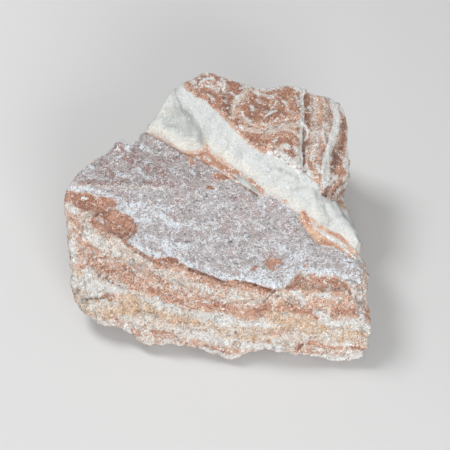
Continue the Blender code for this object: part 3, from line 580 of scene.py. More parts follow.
marks["chalk"] = [
    # powder on the skin
    ([(127, 206), (140, 204), (150, 206)], 3.6, 0.64),
    ([(124, 211), (140, 213), (158, 211), (168, 211)], 5.5, 0.62), ([(137, 219), (152, 221)], 4, 0.70),
    ([(162, 216), (170, 222), (177, 227)], 4.5, 0.86), ([(186, 222), (200, 228)], 4, 0.50),
    ([(132, 238), (150, 239), (170, 243), (186, 248)], 5.5, 0.58),
    ([(129, 242), (139, 249), (150, 255)], 4, 0.86),
    ([(150, 256), (168, 254), (185, 263), (200, 268), (225, 276)], 4, 0.68),
    ([(160, 246), (172, 250)], 4, 0.60), ([(225, 276), (255, 280), (280, 285), (289, 279)], 4.0, 0.78),
    ([(272, 242), (279, 248), (290, 251)], 3.4, 0.84),
    ([(291, 254), (302, 258), (299, 266), (290, 276)], 6, 0.80),
    ([(300, 269), (312, 272), (335, 272), (346, 278), (358, 280)], 3.4, 0.90),
    ([(346, 262), (358, 266)], 5, 0.60), ([(240, 268), (256, 274), (268, 278)], 5, 0.62),
    ([(137, 168), (147, 178)], 1.8, 1.0), ([(116, 174), (132, 177)], 3, 0.68),
    ([(68, 189), (84, 189), (104, 193)], 2.8, 0.80), ([(108, 195), (122, 200), (119, 206)], 3.4, 0.66),
    ([(304, 272), (308, 278)], 1.5, 1.05), ([(180, 169), (183, 169)], 1.8, 1.0),
    ([(193, 172), (195, 174)], 1.6, 0.95), ([(118, 158), (121, 156)], 1.8, 1.05),
    ([(89, 166), (93, 168)], 1.8, 1.05), ([(127, 149), (130, 152)], 1.8, 0.95),
    ([(117, 144), (122, 143), (126, 147)], 1.8, 0.80), ([(140, 134), (135, 141), (129, 147)], 1.8, 0.85),
    ([(142, 147), (150, 150)], 3, 0.70), ([(80, 172), (88, 166)], 3, 0.55),
    ([(320, 246), (334, 249), (346, 255)], 1.4, 0.80),
    ([(313, 227), (320, 232.5), (328, 237.5), (336, 243)], 1, 0.9),
    ([(336, 243), (343, 247.5), (350, 254), (357, 260)], 1, 0.9),
    ([(212, 166), (226, 173), (239, 183)], 1.5, 0.55),
    # white in the scoops, and a painted highlight just under the shaded edge of one scoop
    ([(97, 218.5), (104, 220.5)], 1.6, 0.9), ([(83, 198), (88, 199)], 1.5, 0.85),
    ([(68, 208), (76, 212)], 4.5, 0.95), ([(84, 232), (98, 243), (116, 254)], 6, 0.55),
    ([(184, 334), (205, 337), (226, 342)], 5, 0.7),
    # white crystal of the front
    ([(91, 302), (92, 313)], 1.5, 1.3), ([(97, 304), (98, 315)], 1.5, 1.3),
    ([(103, 306), (104, 316)], 1.5, 1.2), ([(294, 292), (299, 296), (303, 301)], 3.4, 1.0),
    ([(290, 292), (300, 293)], 2, 0.9), ([(318, 295), (328, 294)], 1.8, 1.05),
    ([(330, 286), (328, 290)], 1.6, 1.05), ([(314, 277), (318, 275)], 1.6, 0.8),
    ([(200, 285), (206, 289)], 2.6, 0.7), ([(205, 302), (210, 303)], 2.4, 0.85),
    ([(233, 297), (242, 299)], 2.4, 0.95), ([(222, 300), (230, 301)], 1.8, 0.7),
    ([(172, 279), (177, 287)], 3.4, 0.75), ([(122, 285), (128, 285)], 1.5, 1.0),
    ([(101, 276), (105, 277)], 1.4, 0.95), ([(90, 272), (88, 280), (93, 289)], 6, 1.0),
    ([(100, 285), (110, 290), (124, 290)], 4, 0.95), ([(88, 296), (102, 294)], 2.4, 0.9),
    ([(72, 244), (74, 262)], 5, 0.78), ([(148, 300), (158, 298)], 2.2, 1.0),
    ([(156, 304), (172, 308), (180, 312)], 4.5, 0.80), ([(188, 312), (198, 311)], 2.6, 0.8),
    ([(202, 315), (214, 319), (228, 322)], 5.5, 1.0), ([(208, 326), (214, 331), (222, 326)], 2.4, 0.9),
    ([(230, 324), (232, 334)], 2.6, 0.8), ([(240, 324), (252, 326), (264, 324)], 3.6, 0.85),
    ([(200, 336), (216, 341), (230, 343)], 4.5, 0.90), ([(244, 346), (262, 345), (280, 348)], 5, 1.0),
    ([(272, 342), (280, 341)], 3, 0.9), ([(204, 350), (220, 354), (232, 358)], 2.8, 0.8),
    ([(282, 352), (300, 357), (320, 357), (345, 359), (364, 354)], 4.2, 0.92),
    ([(320, 320), (332, 326), (346, 322)], 4.5, 0.95), ([(323, 334), (328, 337)], 3, 0.95),
    ([(334, 332), (342, 336)], 3, 0.8), ([(316, 312), (328, 316)], 3.4, 0.85),
    ([(312, 322), (318, 326)], 3, 0.6), ([(352, 322), (362, 318)], 4, 0.85),
    ([(352, 291), (354, 299)], 2, 0.9), ([(342, 344), (350, 344)], 2.4, 0.9),
    ([(98, 321), (108, 325)], 2, 0.9), ([(92, 306), (96, 309)], 1.8, 0.95),
    # white on the crust
    ([(194, 81), (212, 84), (224, 92)], 8, 0.34), ([(182, 83), (192, 77), (202, 72), (214, 72)], 1.6, 1.0),
    ([(214, 72), (224, 76), (236, 80), (248, 85), (262, 88)], 2.2, 1.35),
    ([(262, 88), (276, 87), (288, 84), (300, 88)], 3, 1.35),
    ([(300, 88), (312, 93), (326, 96), (338, 104), (346, 116)], 2, 1.05),
    ([(200, 83), (206, 79), (213, 78)], 1.3, 1.1), ([(212, 79), (218, 82), (223, 86)], 1.3, 1.0),
    ([(203, 85), (210, 87), (217, 88)], 1.3, 1.1), ([(222, 78), (225, 84), (224, 90)], 1.5, 1.1),
    ([(208, 95), (214, 99)], 1.5, 0.9), ([(231, 92), (236, 97), (243, 95)], 1.6, 1.15),
    ([(236, 98), (240, 101)], 1.4, 0.95), ([(240, 88), (246, 87)], 1.5, 0.9),
    ([(255, 91), (259, 94)], 2.4, 1.2), ([(262, 95), (270, 97), (276, 94)], 1.6, 0.9),
    ([(256, 99), (260, 103)], 1.3, 0.85), ([(251, 106), (254, 110)], 1.6, 1.1),
    ([(242, 112), (245, 118), (251, 121)], 1.4, 1.1), ([(266, 116), (271, 112), (276, 111)], 1.4, 1.1),
    ([(271, 110), (274, 105), (277, 101)], 1.4, 0.9), ([(283, 101), (286, 104)], 1.5, 0.9),
    ([(275, 121), (277, 119)], 1.6, 1.15), ([(280, 121), (290, 118)], 1.2, 0.8),
    ([(262, 123), (270, 127)], 1.4, 1.0), ([(252, 124), (257, 126)], 1.5, 1.0),
    ([(296, 96), (300, 104)], 1.8, 0.8), ([(301.2, 92), (301.2, 112), (300.6, 130), (301.4, 165)], 1.4, 1.05),
    ([(282, 146), (286, 145), (288, 148)], 2.2, 1.2), ([(274, 141), (277, 140)], 1.4, 1.0),
    ([(277, 153), (284, 156), (292, 160), (300, 168)], 4.6, 1.0), ([(296, 148), (299, 158)], 2.6, 0.85),
    ([(268, 152), (272, 153)], 1.6, 0.9),
    # white between the ribs
    ([(332, 100), (334.5, 108), (337, 118), (336, 128), (332, 140)], 4.6, 1.3),
    ([(332, 140), (328.5, 150), (325.5, 160), (324, 172), (326, 184)], 4.0, 1.25),
    ([(305, 126), (308, 131), (306, 138)], 1.8, 1.1), ([(309, 107), (311, 110)], 1.6, 0.9),
    ([(324, 123), (322, 133), (325, 141)], 2, 1.0), ([(318, 132), (317, 146)], 1.5, 0.8),
    ([(318, 166), (320, 172)], 2, 1.05), ([(312, 150), (311, 160)], 1.3, 0.8),
    ([(339, 103), (345, 111), (348, 121), (349, 135), (348, 155)], 1.9, 1.0),
    ([(340, 150), (342, 158)], 1.4, 0.8), ([(346, 160), (348, 172), (344, 182)], 2.6, 0.9),
    ([(336, 176), (330, 184)], 1.8, 0.9), ([(340, 190), (346, 184)], 1.5, 0.8),
    ([(310, 172), (313, 178)], 2, 1.0), ([(306, 165), (308, 172)], 2, 0.8),
]
marks["slateAndShade"] = [
    # painted shade in the grey dent and along its lines, in hollows and a fold of the white slope, and under
    # the grey rod
    ([(160, 116), (170, 113), (180, 111)], 7, 0.66), ([(168, 120), (180, 126), (192, 132)], 9, 0.86),
    ([(184, 112), (192, 122), (200, 132), (203, 139)], 6.5, 0.95),
    ([(176, 89), (177, 98), (182, 107), (192, 117), (200, 127), (204, 139)], 1.6, 0.95),
    ([(268, 172), (280, 170), (290, 176)], 3, 0.4), ([(284, 185), (296, 188), (308, 187)], 1.8, 0.5),
    ([(318, 192), (320, 202), (322, 222)], 4, 0.5), ([(239, 176), (248, 183), (256, 190)], 3, 0.9),
    # grey grains in the skin, and painted shade in its holes
    ([(166, 204), (170, 208)], 1.8, 1.1), ([(301, 243), (302, 246)], 1.8, 1.1),
    ([(247, 261), (253, 263)], 2.4, 0.85), ([(180, 218), (187, 219)], 2.2, 0.7),
    ([(192, 213), (192, 217)], 1.6, 0.9), ([(112, 163), (117, 163)], 2, 0.8),
    ([(154, 150), (163, 156)], 4.5, 0.65), ([(126, 145), (129, 151)], 1.5, 0.9),
    # grey crystal on the front and in the ribs, and painted shade on the narrow face at the right
    ([(84, 216), (86, 236)], 2, 0.55), ([(130, 263), (140, 262), (144, 270), (134, 270)], 4, 0.7),
    ([(150, 272), (166, 274), (182, 284)], 4, 0.5), ([(196, 288), (214, 293), (232, 293)], 4.5, 0.5),
    ([(276, 294), (290, 299), (300, 304)], 4, 0.55), ([(76, 286), (80, 296), (88, 303)], 5, 0.66),
    ([(70, 276), (76, 284)], 3, 0.6), ([(256, 341), (240, 346)], 3, 0.5), ([(304, 338), (314, 338)], 3, 0.7),
    ([(188, 330), (206, 332)], 3, 0.5), ([(200, 347), (226, 354)], 2, 0.6),
    ([(360, 284), (361, 305), (364, 330)], 4, 0.75), ([(356, 296), (358, 314)], 2.5, 0.55),
    ([(340, 120), (340, 134)], 1.8, 0.7), ([(312, 100), (312, 128)], 1.6, 0.5),
]


def stainsOf(zones):
    # how much of each stain there is at each place: strokes, and the beds' own share between them
    stains = {}
    for name, strokes in marks.items():
        laid = np.zeros(len(zones["depth"]))
        for path, halfWidth, most in strokes:
            gap = pathDistance(zones["places"], path) / halfWidth
            laid = np.maximum(laid, zones["seen"] * most * smoothstep(*laying["stroke"], gap))
        stains[name] = laid
    bare = smoothstep(*laying["offUpper"], zones["upper"])
    bare *= smoothstep(*laying["offSkin"], zones["skin"])
    strokes = np.maximum.reduce([stains[name] for name in ("salmon", "rust", "cream", "ochre")])
    free = bare * (1.0 - laying["heldOff"] * np.clip(strokes, 0.0, 1.0))
    for name in ("salmon", "rust", "cream", "ochre", "chalk", "slateAndShade"):
        fromBed = free * np.interp(zones["bed"], beds["stops"], beds[name])
        stains[name] = np.maximum(stains[name], fromBed)
    return stains


def makeStone():
    piece = fineMesh()
    points, normals = readMesh(piece.data)
    zones = zonesOf(points, normals)
    print("stone: fine mesh of", len(points), "points")
    fields = {name: zones[name] for name in zoneNames}
    fields.update(stainsOf(zones))
    print("stone: stains laid on")
    resting = smoothstep(*stone["resting"], points[:, 2])
    shaped = sharpenLip(points, zones)
    shaped = shaped + normals * (fineRelief(points, zones) * (1.0 - resting))[:, None]
    shaped[:, 2] = np.maximum(shaped[:, 2], 0.0)
    mesh = piece.data
    mesh.vertices.foreach_set("co", (shaped * mm).ravel())
    for name, values in fields.items():
        attribute = mesh.attributes.new(name, "FLOAT", "POINT")
        attribute.data.foreach_set("value", values.astype(np.float32))
    mesh.polygons.foreach_set("use_smooth", np.ones(len(mesh.polygons), bool))
    mesh.update()
    print("stone: broken surface cut,", len(mesh.polygons) * 2, "triangles")
    return piece


def feed(socket, value):
    if isinstance(value, bpy.types.NodeSocket):
        socket.id_data.links.new(value, socket)
    else:
        socket.default_value = value


def place(kind, inputs, tree=None, **settings):
    # a new shader node, in the tree that its inputs come from unless another is given
    if tree is None:
        linked = [value for value in inputs.values() if isinstance(value, bpy.types.NodeSocket)]
        tree = linked[0].id_data
    node = tree.nodes.new("ShaderNode" + kind)
    for name, value in settings.items():
        setattr(node, name, value)
    for name, value in inputs.items():
        feed(node.inputs[name], value)
    return node


def chain(operation, values):
    result = values[0]
    for value in values[1:]:
        result = place("Math", {0: result, 1: value}, operation=operation).outputs[0]
    return result


def plus(*values):
    return chain("ADD", values)


def times(*values):
    return chain("MULTIPLY", values)


def either(*values):
    return chain("MAXIMUM", values)


def less(first, second):
    return chain("SUBTRACT", (first, second))


def opposite(value):
    return less(1.0, value)


def mix(factor, first, second, mode="MIX"):
    inputs = {0: factor, 6: first, 7: second}
    return place("Mix", inputs, data_type="RGBA", blend_type=mode).outputs[2]


def ease(value, low, high, bottom=0.0, top=1.0):
    inputs = {"Value": value, "From Min": low, "From Max": high, "To Min": bottom, "To Max": top}
    return place("MapRange", inputs, interpolation_type="SMOOTHSTEP").outputs["Result"]


def spread(value):
    # stretches a noise threefold about its middle
    return place("Math", {0: value, 1: 3.0, 2: -1.0}, operation="MULTIPLY_ADD").outputs[0]


shiftWays = (1.0, -1.0, 1.7)  # how a noise is shifted along each axis


def mottle(where, size, detail=3.0, roughness=0.6, shift=0.0, distortion=0.0):
    # noise with lumps of a size in mm: 0.5 on average, and two thirds of it within 0.2 of that
    moved = place("VectorMath", {0: where, 1: [shift * way for way in shiftWays]})
    inputs = {
        "Vector": moved.outputs[0], "Scale": 1.0 / (size * mm), "Detail": detail,
        "Roughness": roughness, "Distortion": distortion,
    }
    return spread(place("TexNoise", inputs).outputs[0])


def paint(red, green, blue):
    # a colour as the eye sees it, 0 to 255, for a shader
    def linear(part):
        part = part / 255.0
        return part / 12.92 if part <= 0.04045 else ((part + 0.055) / 1.055) ** 2.4

    return (linear(red), linear(green), linear(blue), 1.0)


def newGroup(name, inputs, outputs):
    # an input is a number, given with what it starts at, or a vector, given as None
    group = bpy.data.node_groups.new(name, "ShaderNodeTree")
    for label, first in inputs.items():
        kind = "NodeSocketVector" if first is None else "NodeSocketFloat"
        socket = group.interface.new_socket(label, in_out="INPUT", socket_type=kind)
        if first is not None:
            socket.default_value = first
    for label in outputs:
        group.interface.new_socket(label, in_out="OUTPUT", socket_type="NodeSocketFloat")
    start = group.nodes.new("NodeGroupInput").outputs
    end = group.nodes.new("NodeGroupOutput").inputs
    return group, start, end


def cellsOf(where, scale):
    # separate cells: the distance to the middle of each, and its own random numbers
    cells = place("TexVoronoi", {"Vector": where, "Scale": scale}).outputs
    chance = place("SeparateColor", {"Color": cells["Color"]}).outputs
    return cells["Distance"], chance


def raggedMaskGroup():
    # turns a smooth amount into a stain with a broken, speckled edge
    sizes = {"Broad": 5.0, "Middle": 1.9, "Fine": 0.8}  # mm
    streaks = 0.3  # how far the beds' leaves draw the stain out
    least = 0.3  # amounts under this fade away
    group, start, end = newGroup(
        "raggedMask",
        {
            "Amount": 0.5, "Where": None, "Streak": 0.5, "Shift": None,
            "Broad": 0.5, "Middle": 0.4, "Fine": 0.4, "Soft": 0.1,
        },
        ["Mask"],
    )
    moved = place("VectorMath", {0: start["Where"], 1: start["Shift"]}).outputs[0]
    wander = times(less(start["Streak"], 0.5), streaks)
    for name, size in sizes.items():
        swing = less(mottle(moved, size, shift=size), 0.5)
        wander = plus(wander, times(swing, start[name]))
    low = less(0.5, start["Soft"])
    high = plus(0.5, start["Soft"])
    laid = ease(start["Amount"], 0.0, least)
    ragged = ease(plus(start["Amount"], wander), low, high)
    feed(end["Mask"], times(laid, ragged))
    return group


def specksGroup():
    # separate specks, each in its own cell, for pale crystals and for painted pit shade: they grow and close
    # up as the amount goes from 0 to 1
    bending = {"scale": 900.0, "most": 1.2}  # waves in a metre, and mm that a cell's edge bends
    clumps = (
        {"size": 3.4, "detail": 2.0, "shift": 0.7},
        {"size": 1.5, "detail": 1.0, "shift": 1.9},
    )
    growth = {"start": 0.12, "speed": 1.1}
    edge = (-0.18, 0.12)
    brightness = (-0.05, 0.45, 0.5, 1.0)  # small crystals are half as bright as full ones
    group, start, end = newGroup(
        "specks",
        {"Amount": 0.2, "Where": None, "Shift": None, "Size": 0.9, "Cluster": 0.6},
        ["Mask"],
    )

    def vector(operation, inputs):
        return place("VectorMath", inputs, operation=operation).outputs[0]

    moved = vector("ADD", {0: start["Where"], 1: start["Shift"]})
    bent = {"Vector": moved, "Scale": bending["scale"], "Detail": 1.0}
    bend = place("TexNoise", bent).outputs["Color"]
    bend = vector("SUBTRACT", {0: bend, 1: (0.5, 0.5, 0.5)})
    moved = vector("ADD", {0: moved, 1: vector("SCALE", {0: bend, "Scale": bending["most"] * mm})})
    distance, chance = cellsOf(moved, chain("DIVIDE", (1.0 / mm, start["Size"])))
    clump = plus(*(mottle(moved, **lumps) for lumps in clumps))
    clump = times(less(clump, 1.0), start["Cluster"])
    reach = less(plus(start["Amount"], clump), chance[0])
    grown = times(plus(reach, growth["start"]), growth["speed"])
    inside = ease(less(grown, distance), *edge)
    bright = ease(reach, *brightness)
    feed(end["Mask"], times(inside, bright))
    return group


def crystalGrainGroup():
    # the crunch of small broken crystals: its height, and a shade for each crystal
    cells = {"finer": 1.4, "step": 0.4, "dome": 0.3}  # than the crunch, between cells, and on each
    group, start, end = newGroup("crystalGrain", {"Where": None, "Size": 0.7}, ["Height", "Shade"])
    scale = chain("DIVIDE", (1.0 / mm, start["Size"]))
    curl = {
        "Vector": start["Where"], "Scale": scale, "Detail": 3.0, "Roughness": 0.6,
        "Distortion": 0.9,
    }
    swirl = spread(place("TexNoise", curl).outputs[0])
    distance, chance = cellsOf(start["Where"], times(scale, cells["finer"]))
    rise = plus(swirl, times(less(chance[0], 0.5), cells["step"]))
    feed(end["Height"], less(rise, times(distance, cells["dome"])))
    feed(end["Shade"], chance[1])
    return group


# the two colours of each surface, the noises that choose between them, and over what range
surfaces = {
    "bed": {
        "colours": ((209, 187, 172), (220, 204, 192)), "by": ("leaves", "middle"), "range": (0.6, 1.4),
    },
    "white": {"colours": ((203, 205, 203), (197, 200, 199)), "by": ("broad",), "range": (0.2, 0.8)},
    "ribs": {"colours": ((187, 154, 138), (222, 206, 197)), "by": ("middle",), "range": (0.3, 0.7)},
    "crust": {"colours": ((182, 129, 104), (205, 156, 130)), "by": ("broad",), "range": (0.45, 0.85)},
    "skin": {"colours": ((184, 177, 178), (200, 194, 195)), "by": ("middle",), "range": (0.3, 0.7)},
    "salmon": {
        "colours": ((199, 155, 133), (216, 180, 160)), "by": ("fine", "broad"), "range": (0.7, 1.3),
    },
    "rust": {
        "colours": ((178, 131, 110), (202, 157, 136)), "by": ("middle", "broad"), "range": (0.75, 1.3),
    },
    "ochre": {
        "colours": ((210, 174, 142), (221, 198, 174)), "by": ("middle", "fibres"), "range": (0.75, 1.25),
    },
}

# single colours; OnWhite is a stain's colour on the white layer
colours = {
    "crustGrey": (168, 136, 124),
    "skinPink": (194, 174, 171),
    "skinCoarse": (179, 168, 167),
    "wine": (168, 134, 127),
    "cream": (226, 212, 200),
    "creamOnWhite": (217, 212, 202),
    "salmonOnWhite": (200, 151, 121),
    "rustOnWhite": (175, 131, 108),
    # grey crystal, also laid on as painted shade; on the white layer the stain is painted shade only
    "slateAndShade": (176, 171, 165),
    "paintedShadeOnWhite": (170, 173, 169),
    # dark brown, laid on as painted shade in cracks, grooves and under edges
    "umberAndShade": (132, 98, 82),
    # painted shade of small pits, multiplied in by their specks
    "shade": (178, 174, 174),
    "chalk": (230, 230, 228),
    "powder": (229, 236, 243),
    "frost": (226, 223, 218),
    "frostLitOnUpper": (243, 244, 242),  # above the flat face, painted lighter to make up for the shade that the ribs lie in
}

# noises of the stone; sizes in mm
mottles = {
    "leaves": {"size": 0.9, "detail": 3.0, "shift": 0.1},
    "fibres": {"size": 1.0, "detail": 2.0, "shift": 0.2},
    "broad": {"size": 7.0, "detail": 4.0, "shift": 0.5},
    "middle": {"size": 2.6, "detail": 4.0, "roughness": 0.65, "shift": 0.9, "distortion": 0.5},
    "fine": {"size": 0.4, "detail": 1.0, "shift": 1.3},
    "clumps": {"size": 1.4, "detail": 2.0, "shift": 2.3},
    "crisp": {"size": 3.2, "detail": 2.0, "shift": 3.1},
}

# the mottling is squeezed, so that leaves run along the beds and fibres stand upright
squeeze = {
    "leafLength": 0.22,
    "fibreHeight": 0.2,
    "bedDepth": 0.0035,  # metres for each bed
}

# how far each drawn edge wanders and how soft it is, in mm
edges = {
    "upper": {"wander": 0.8, "soft": 0.25},
    "ribs": {"wander": 0.8, "soft": 0.25},
    "crust": {"wander": 2.0, "soft": 0.5},
    "skin": {"wander": 0.6, "soft": 0.18},
}

# how each stain breaks up: swing at three sizes, softness of its edge, and how far it covers
brush = {
    "salmon": {"Broad": 0.4, "Middle": 0.4, "Fine": 0.25, "Soft": 0.16, "cover": 0.95},
    "rust": {"Broad": 0.35, "Middle": 0.35, "Fine": 0.2, "Soft": 0.12, "cover": 1.0},
    "wine": {"Broad": 0.4, "Middle": 0.7, "Fine": 0.4, "Soft": 0.25, "cover": 0.8},
    "ochre": {"Broad": 0.5, "Middle": 0.5, "Fine": 0.2, "Soft": 0.25, "cover": 0.9},
    "cream": {"Broad": 0.3, "Middle": 0.35, "Fine": 0.25, "Soft": 0.45, "cover": 0.8},
    "slateAndShade": {"Broad": 0.4, "Middle": 0.5, "Fine": 0.3, "Soft": 0.25, "cover": 0.75},
    "chalk": {"Broad": 0.3, "Middle": 1.0, "Fine": 0.5, "Soft": 0.24, "cover": 0.76},
    "umberAndShade": {"Broad": 0.2, "Middle": 0.3, "Fine": 0.3, "Soft": 0.3, "cover": 0.85},
}
softOnWhite = 0.48  # the least softness of any stain on the white layer
brushShift = (0.11, 0.23, -0.17)  # metres, so that no two stains break up alike

# how many pale crystals and specks of painted pit shade each kind of surface has
crystals = {
    "bed": {"pale": 0.22, "pitShade": 0.20},
    "crust": {"pale": 0.11, "pitShade": 0.22},
    "white": {"pale": -0.45, "pitShade": -0.5},
    "stained": {"pale": 0.13, "pitShade": 0.18},
    "skin": {"pale": 0.32, "pitShade": 0.30},
    "coarse": {"pale": 0.34, "pitShade": 0.38},
}

# specks of three kinds, the first painted shade of small pits and the others pale crystals: mm across,
# how much they keep together, metres by which their pattern is shifted, and how far each one covers
dots = {
    "pitShade": {"size": 0.56, "cluster": 0.7, "shift": (0.031, -0.062, 0.093), "cover": 0.74},
    "coarse": {"size": 0.72, "cluster": 0.85, "shift": (0.057, -0.114, 0.171), "cover": 0.95},
    "fine": {"size": 0.46, "cluster": 0.9, "shift": (0.083, -0.166, 0.249), "cover": 1.0},
}

# a range is from and to of a noise or a distance, and what it gives at both ends
finish = {
    "greyFlecks": (0.6, 0.85, 0.0, 1.0),  # grey in the crust
    "pink": (0.5, 0.9, 0.0, 0.6),  # pink in the skin
    "coarseEdge": (-1.0, 1.6),  # mm, where its coarse corner begins
    "coarse": 0.8,  # how dark that corner is
    "creamOnSkin": 0.8,
    "grainSize": 0.8,  # mm, crystals of the broken surface
    "grainTone": 0.44,  # how much each crystal differs in tone, and how much its finest grain does
    "fineTone": 0.66,
    "evenTone": 0.55,  # taken off again, so that the average stays
    "crispTone": (0.2, 0.8, 0.35, 1.35),
    "calmWhite": 0.62,  # how much calmer the white layer is
    "roughness": (0.9, 0.55),  # from the dullest crystals to the brightest
    "specular": 0.35,
}

# powder, and thin pale crystals painted as a lit copy of the stone: a painted highlight
powder = {
    "tone": 0.6,  # how much of the stone's grain shows in it
    "lit": 1.55,  # a painted highlight: how much lighter a thin crystal is than the stone around it
    "clumps": 1.2,  # what makes it gather: noise, worn stone and crust, and bare stone
    "onWorn": 0.3,
    "offSkin": 0.1,
    "gathers": (0.2, 0.6, 0.45, 1.0),
    "filled": 0.7,  # how much fewer of the stone's own crystals show where powder lies
    "offStains": 0.55,
    "upper": 0.3,  # how far crystals close up above the flat face, beside 1 on the skin
    "coarseDots": (0.0, 1.0, 0.72, 0.94),
    "fineDots": (0.0, 1.0, 1.0, 1.08),
}

# solid white crystal, and what keeps it off
frost = {"tone": 0.8, "offCrust": 0.5, "offOchre": 0.5, "offWorn": (0.45, 0.8, 0.75, 0.0)}

# heights in mm
bumps = {"grain": 0.38, "middle": 0.36, "fibres": 0.2, "dots": 0.08}


def stoneNoises(where, bed):
    # mottling at several sizes, with thin leaves along the beds and fibres across them
    x, y, z = place("SeparateXYZ", {"Vector": where}).outputs
    flat = {
        0: times(x, squeeze["leafLength"]),
        1: times(y, squeeze["leafLength"]),
        2: times(bed, squeeze["bedDepth"]),
    }
    upright = {0: x, 1: y, 2: times(z, squeeze["fibreHeight"])}
    spots = dict.fromkeys(mottles, where)
    spots["leaves"] = place("CombineXYZ", flat).outputs[0]
    spots["fibres"] = place("CombineXYZ", upright).outputs[0]
    return {name: mottle(spots[name], **values) for name, values in mottles.items()}


def stoneZones(field, noises):
    # the drawn zones, each edge with a small natural wander
    drift = less(noises["middle"], 0.5)
    zone = {}
    for name, edge in edges.items():
        moved = plus(field[name], times(drift, edge["wander"]))
        zone[name] = ease(moved, -edge["soft"], edge["soft"])
    corner = plus(field["coarse"], noises["broad"])
    zone["coarse"] = ease(corner, *finish["coarseEdge"])
    covered = either(zone["crust"], zone["ribs"])
    zone["white"] = times(zone["upper"], opposite(covered))
    return zone


def stainMasks(where, field, noises, zone):
    # every stain, broken up by its own brush, and softer on the white layer
    group = raggedMaskGroup()
    mask = {}
    for order, (name, look) in enumerate(brush.items()):
        soft = look["Soft"]
        inputs = {
            "Amount": field[name], "Where": where, "Streak": noises["leaves"],
            "Broad": look["Broad"], "Middle": look["Middle"], "Fine": look["Fine"],
            "Soft": ease(zone["white"], 0.0, 1.0, soft, max(soft, softOnWhite)),
            "Shift": Vector(brushShift) * order,
        }
        node = place("Group", inputs, node_tree=group)
        mask[name] = times(node.outputs["Mask"], look["cover"])
    return mask


def varied(name, noises):
    # a surface's two colours, mixed by its noises
    surface = surfaces[name]
    swing = plus(*(noises[kind] for kind in surface["by"]))
    first, second = surface["colours"]
    return mix(ease(swing, *surface["range"]), paint(*first), paint(*second))


def rockColour(hue, noises, zone, mask):
    # beds, white layer, ribs and crust, and the stains on them
    colour = mix(zone["upper"], varied("bed", noises), varied("white", noises))
    colour = mix(zone["ribs"], colour, varied("ribs", noises))
    grey = ease(noises["fine"], *finish["greyFlecks"])
    crust = mix(grey, varied("crust", noises), hue["crustGrey"])
    colour = mix(zone["crust"], colour, crust)
    salmon = varied("salmon", noises)
    rust = varied("rust", noises)
    stains = {
        "cream": mix(zone["white"], hue["cream"], hue["creamOnWhite"]),
        "salmon": mix(zone["white"], salmon, hue["salmonOnWhite"]),
        "rust": mix(zone["white"], rust, hue["rustOnWhite"]),
        "ochre": varied("ochre", noises),
    }
    for name, stain in stains.items():
        colour = mix(mask[name], colour, stain)
    return colour


def skinColour(hue, noises, zone, mask):
    # the grey skin, pinker in places and darker at its coarse corner
    skin = varied("skin", noises)
    skin = mix(ease(noises["broad"], *finish["pink"]), skin, hue["skinPink"])
    skin = mix(times(zone["coarse"], finish["coarse"]), skin, hue["skinCoarse"])
    return mix(mask["wine"], skin, hue["wine"])


def crystalShare(kind, covers):
    # how many crystals of a kind there are at each place
    value = crystals["bed"][kind]
    for name, cover in covers.items():
        inputs = {0: cover, 2: value, 3: crystals[name][kind]}
        value = place("Mix", inputs, data_type="FLOAT").outputs[0]
    return value


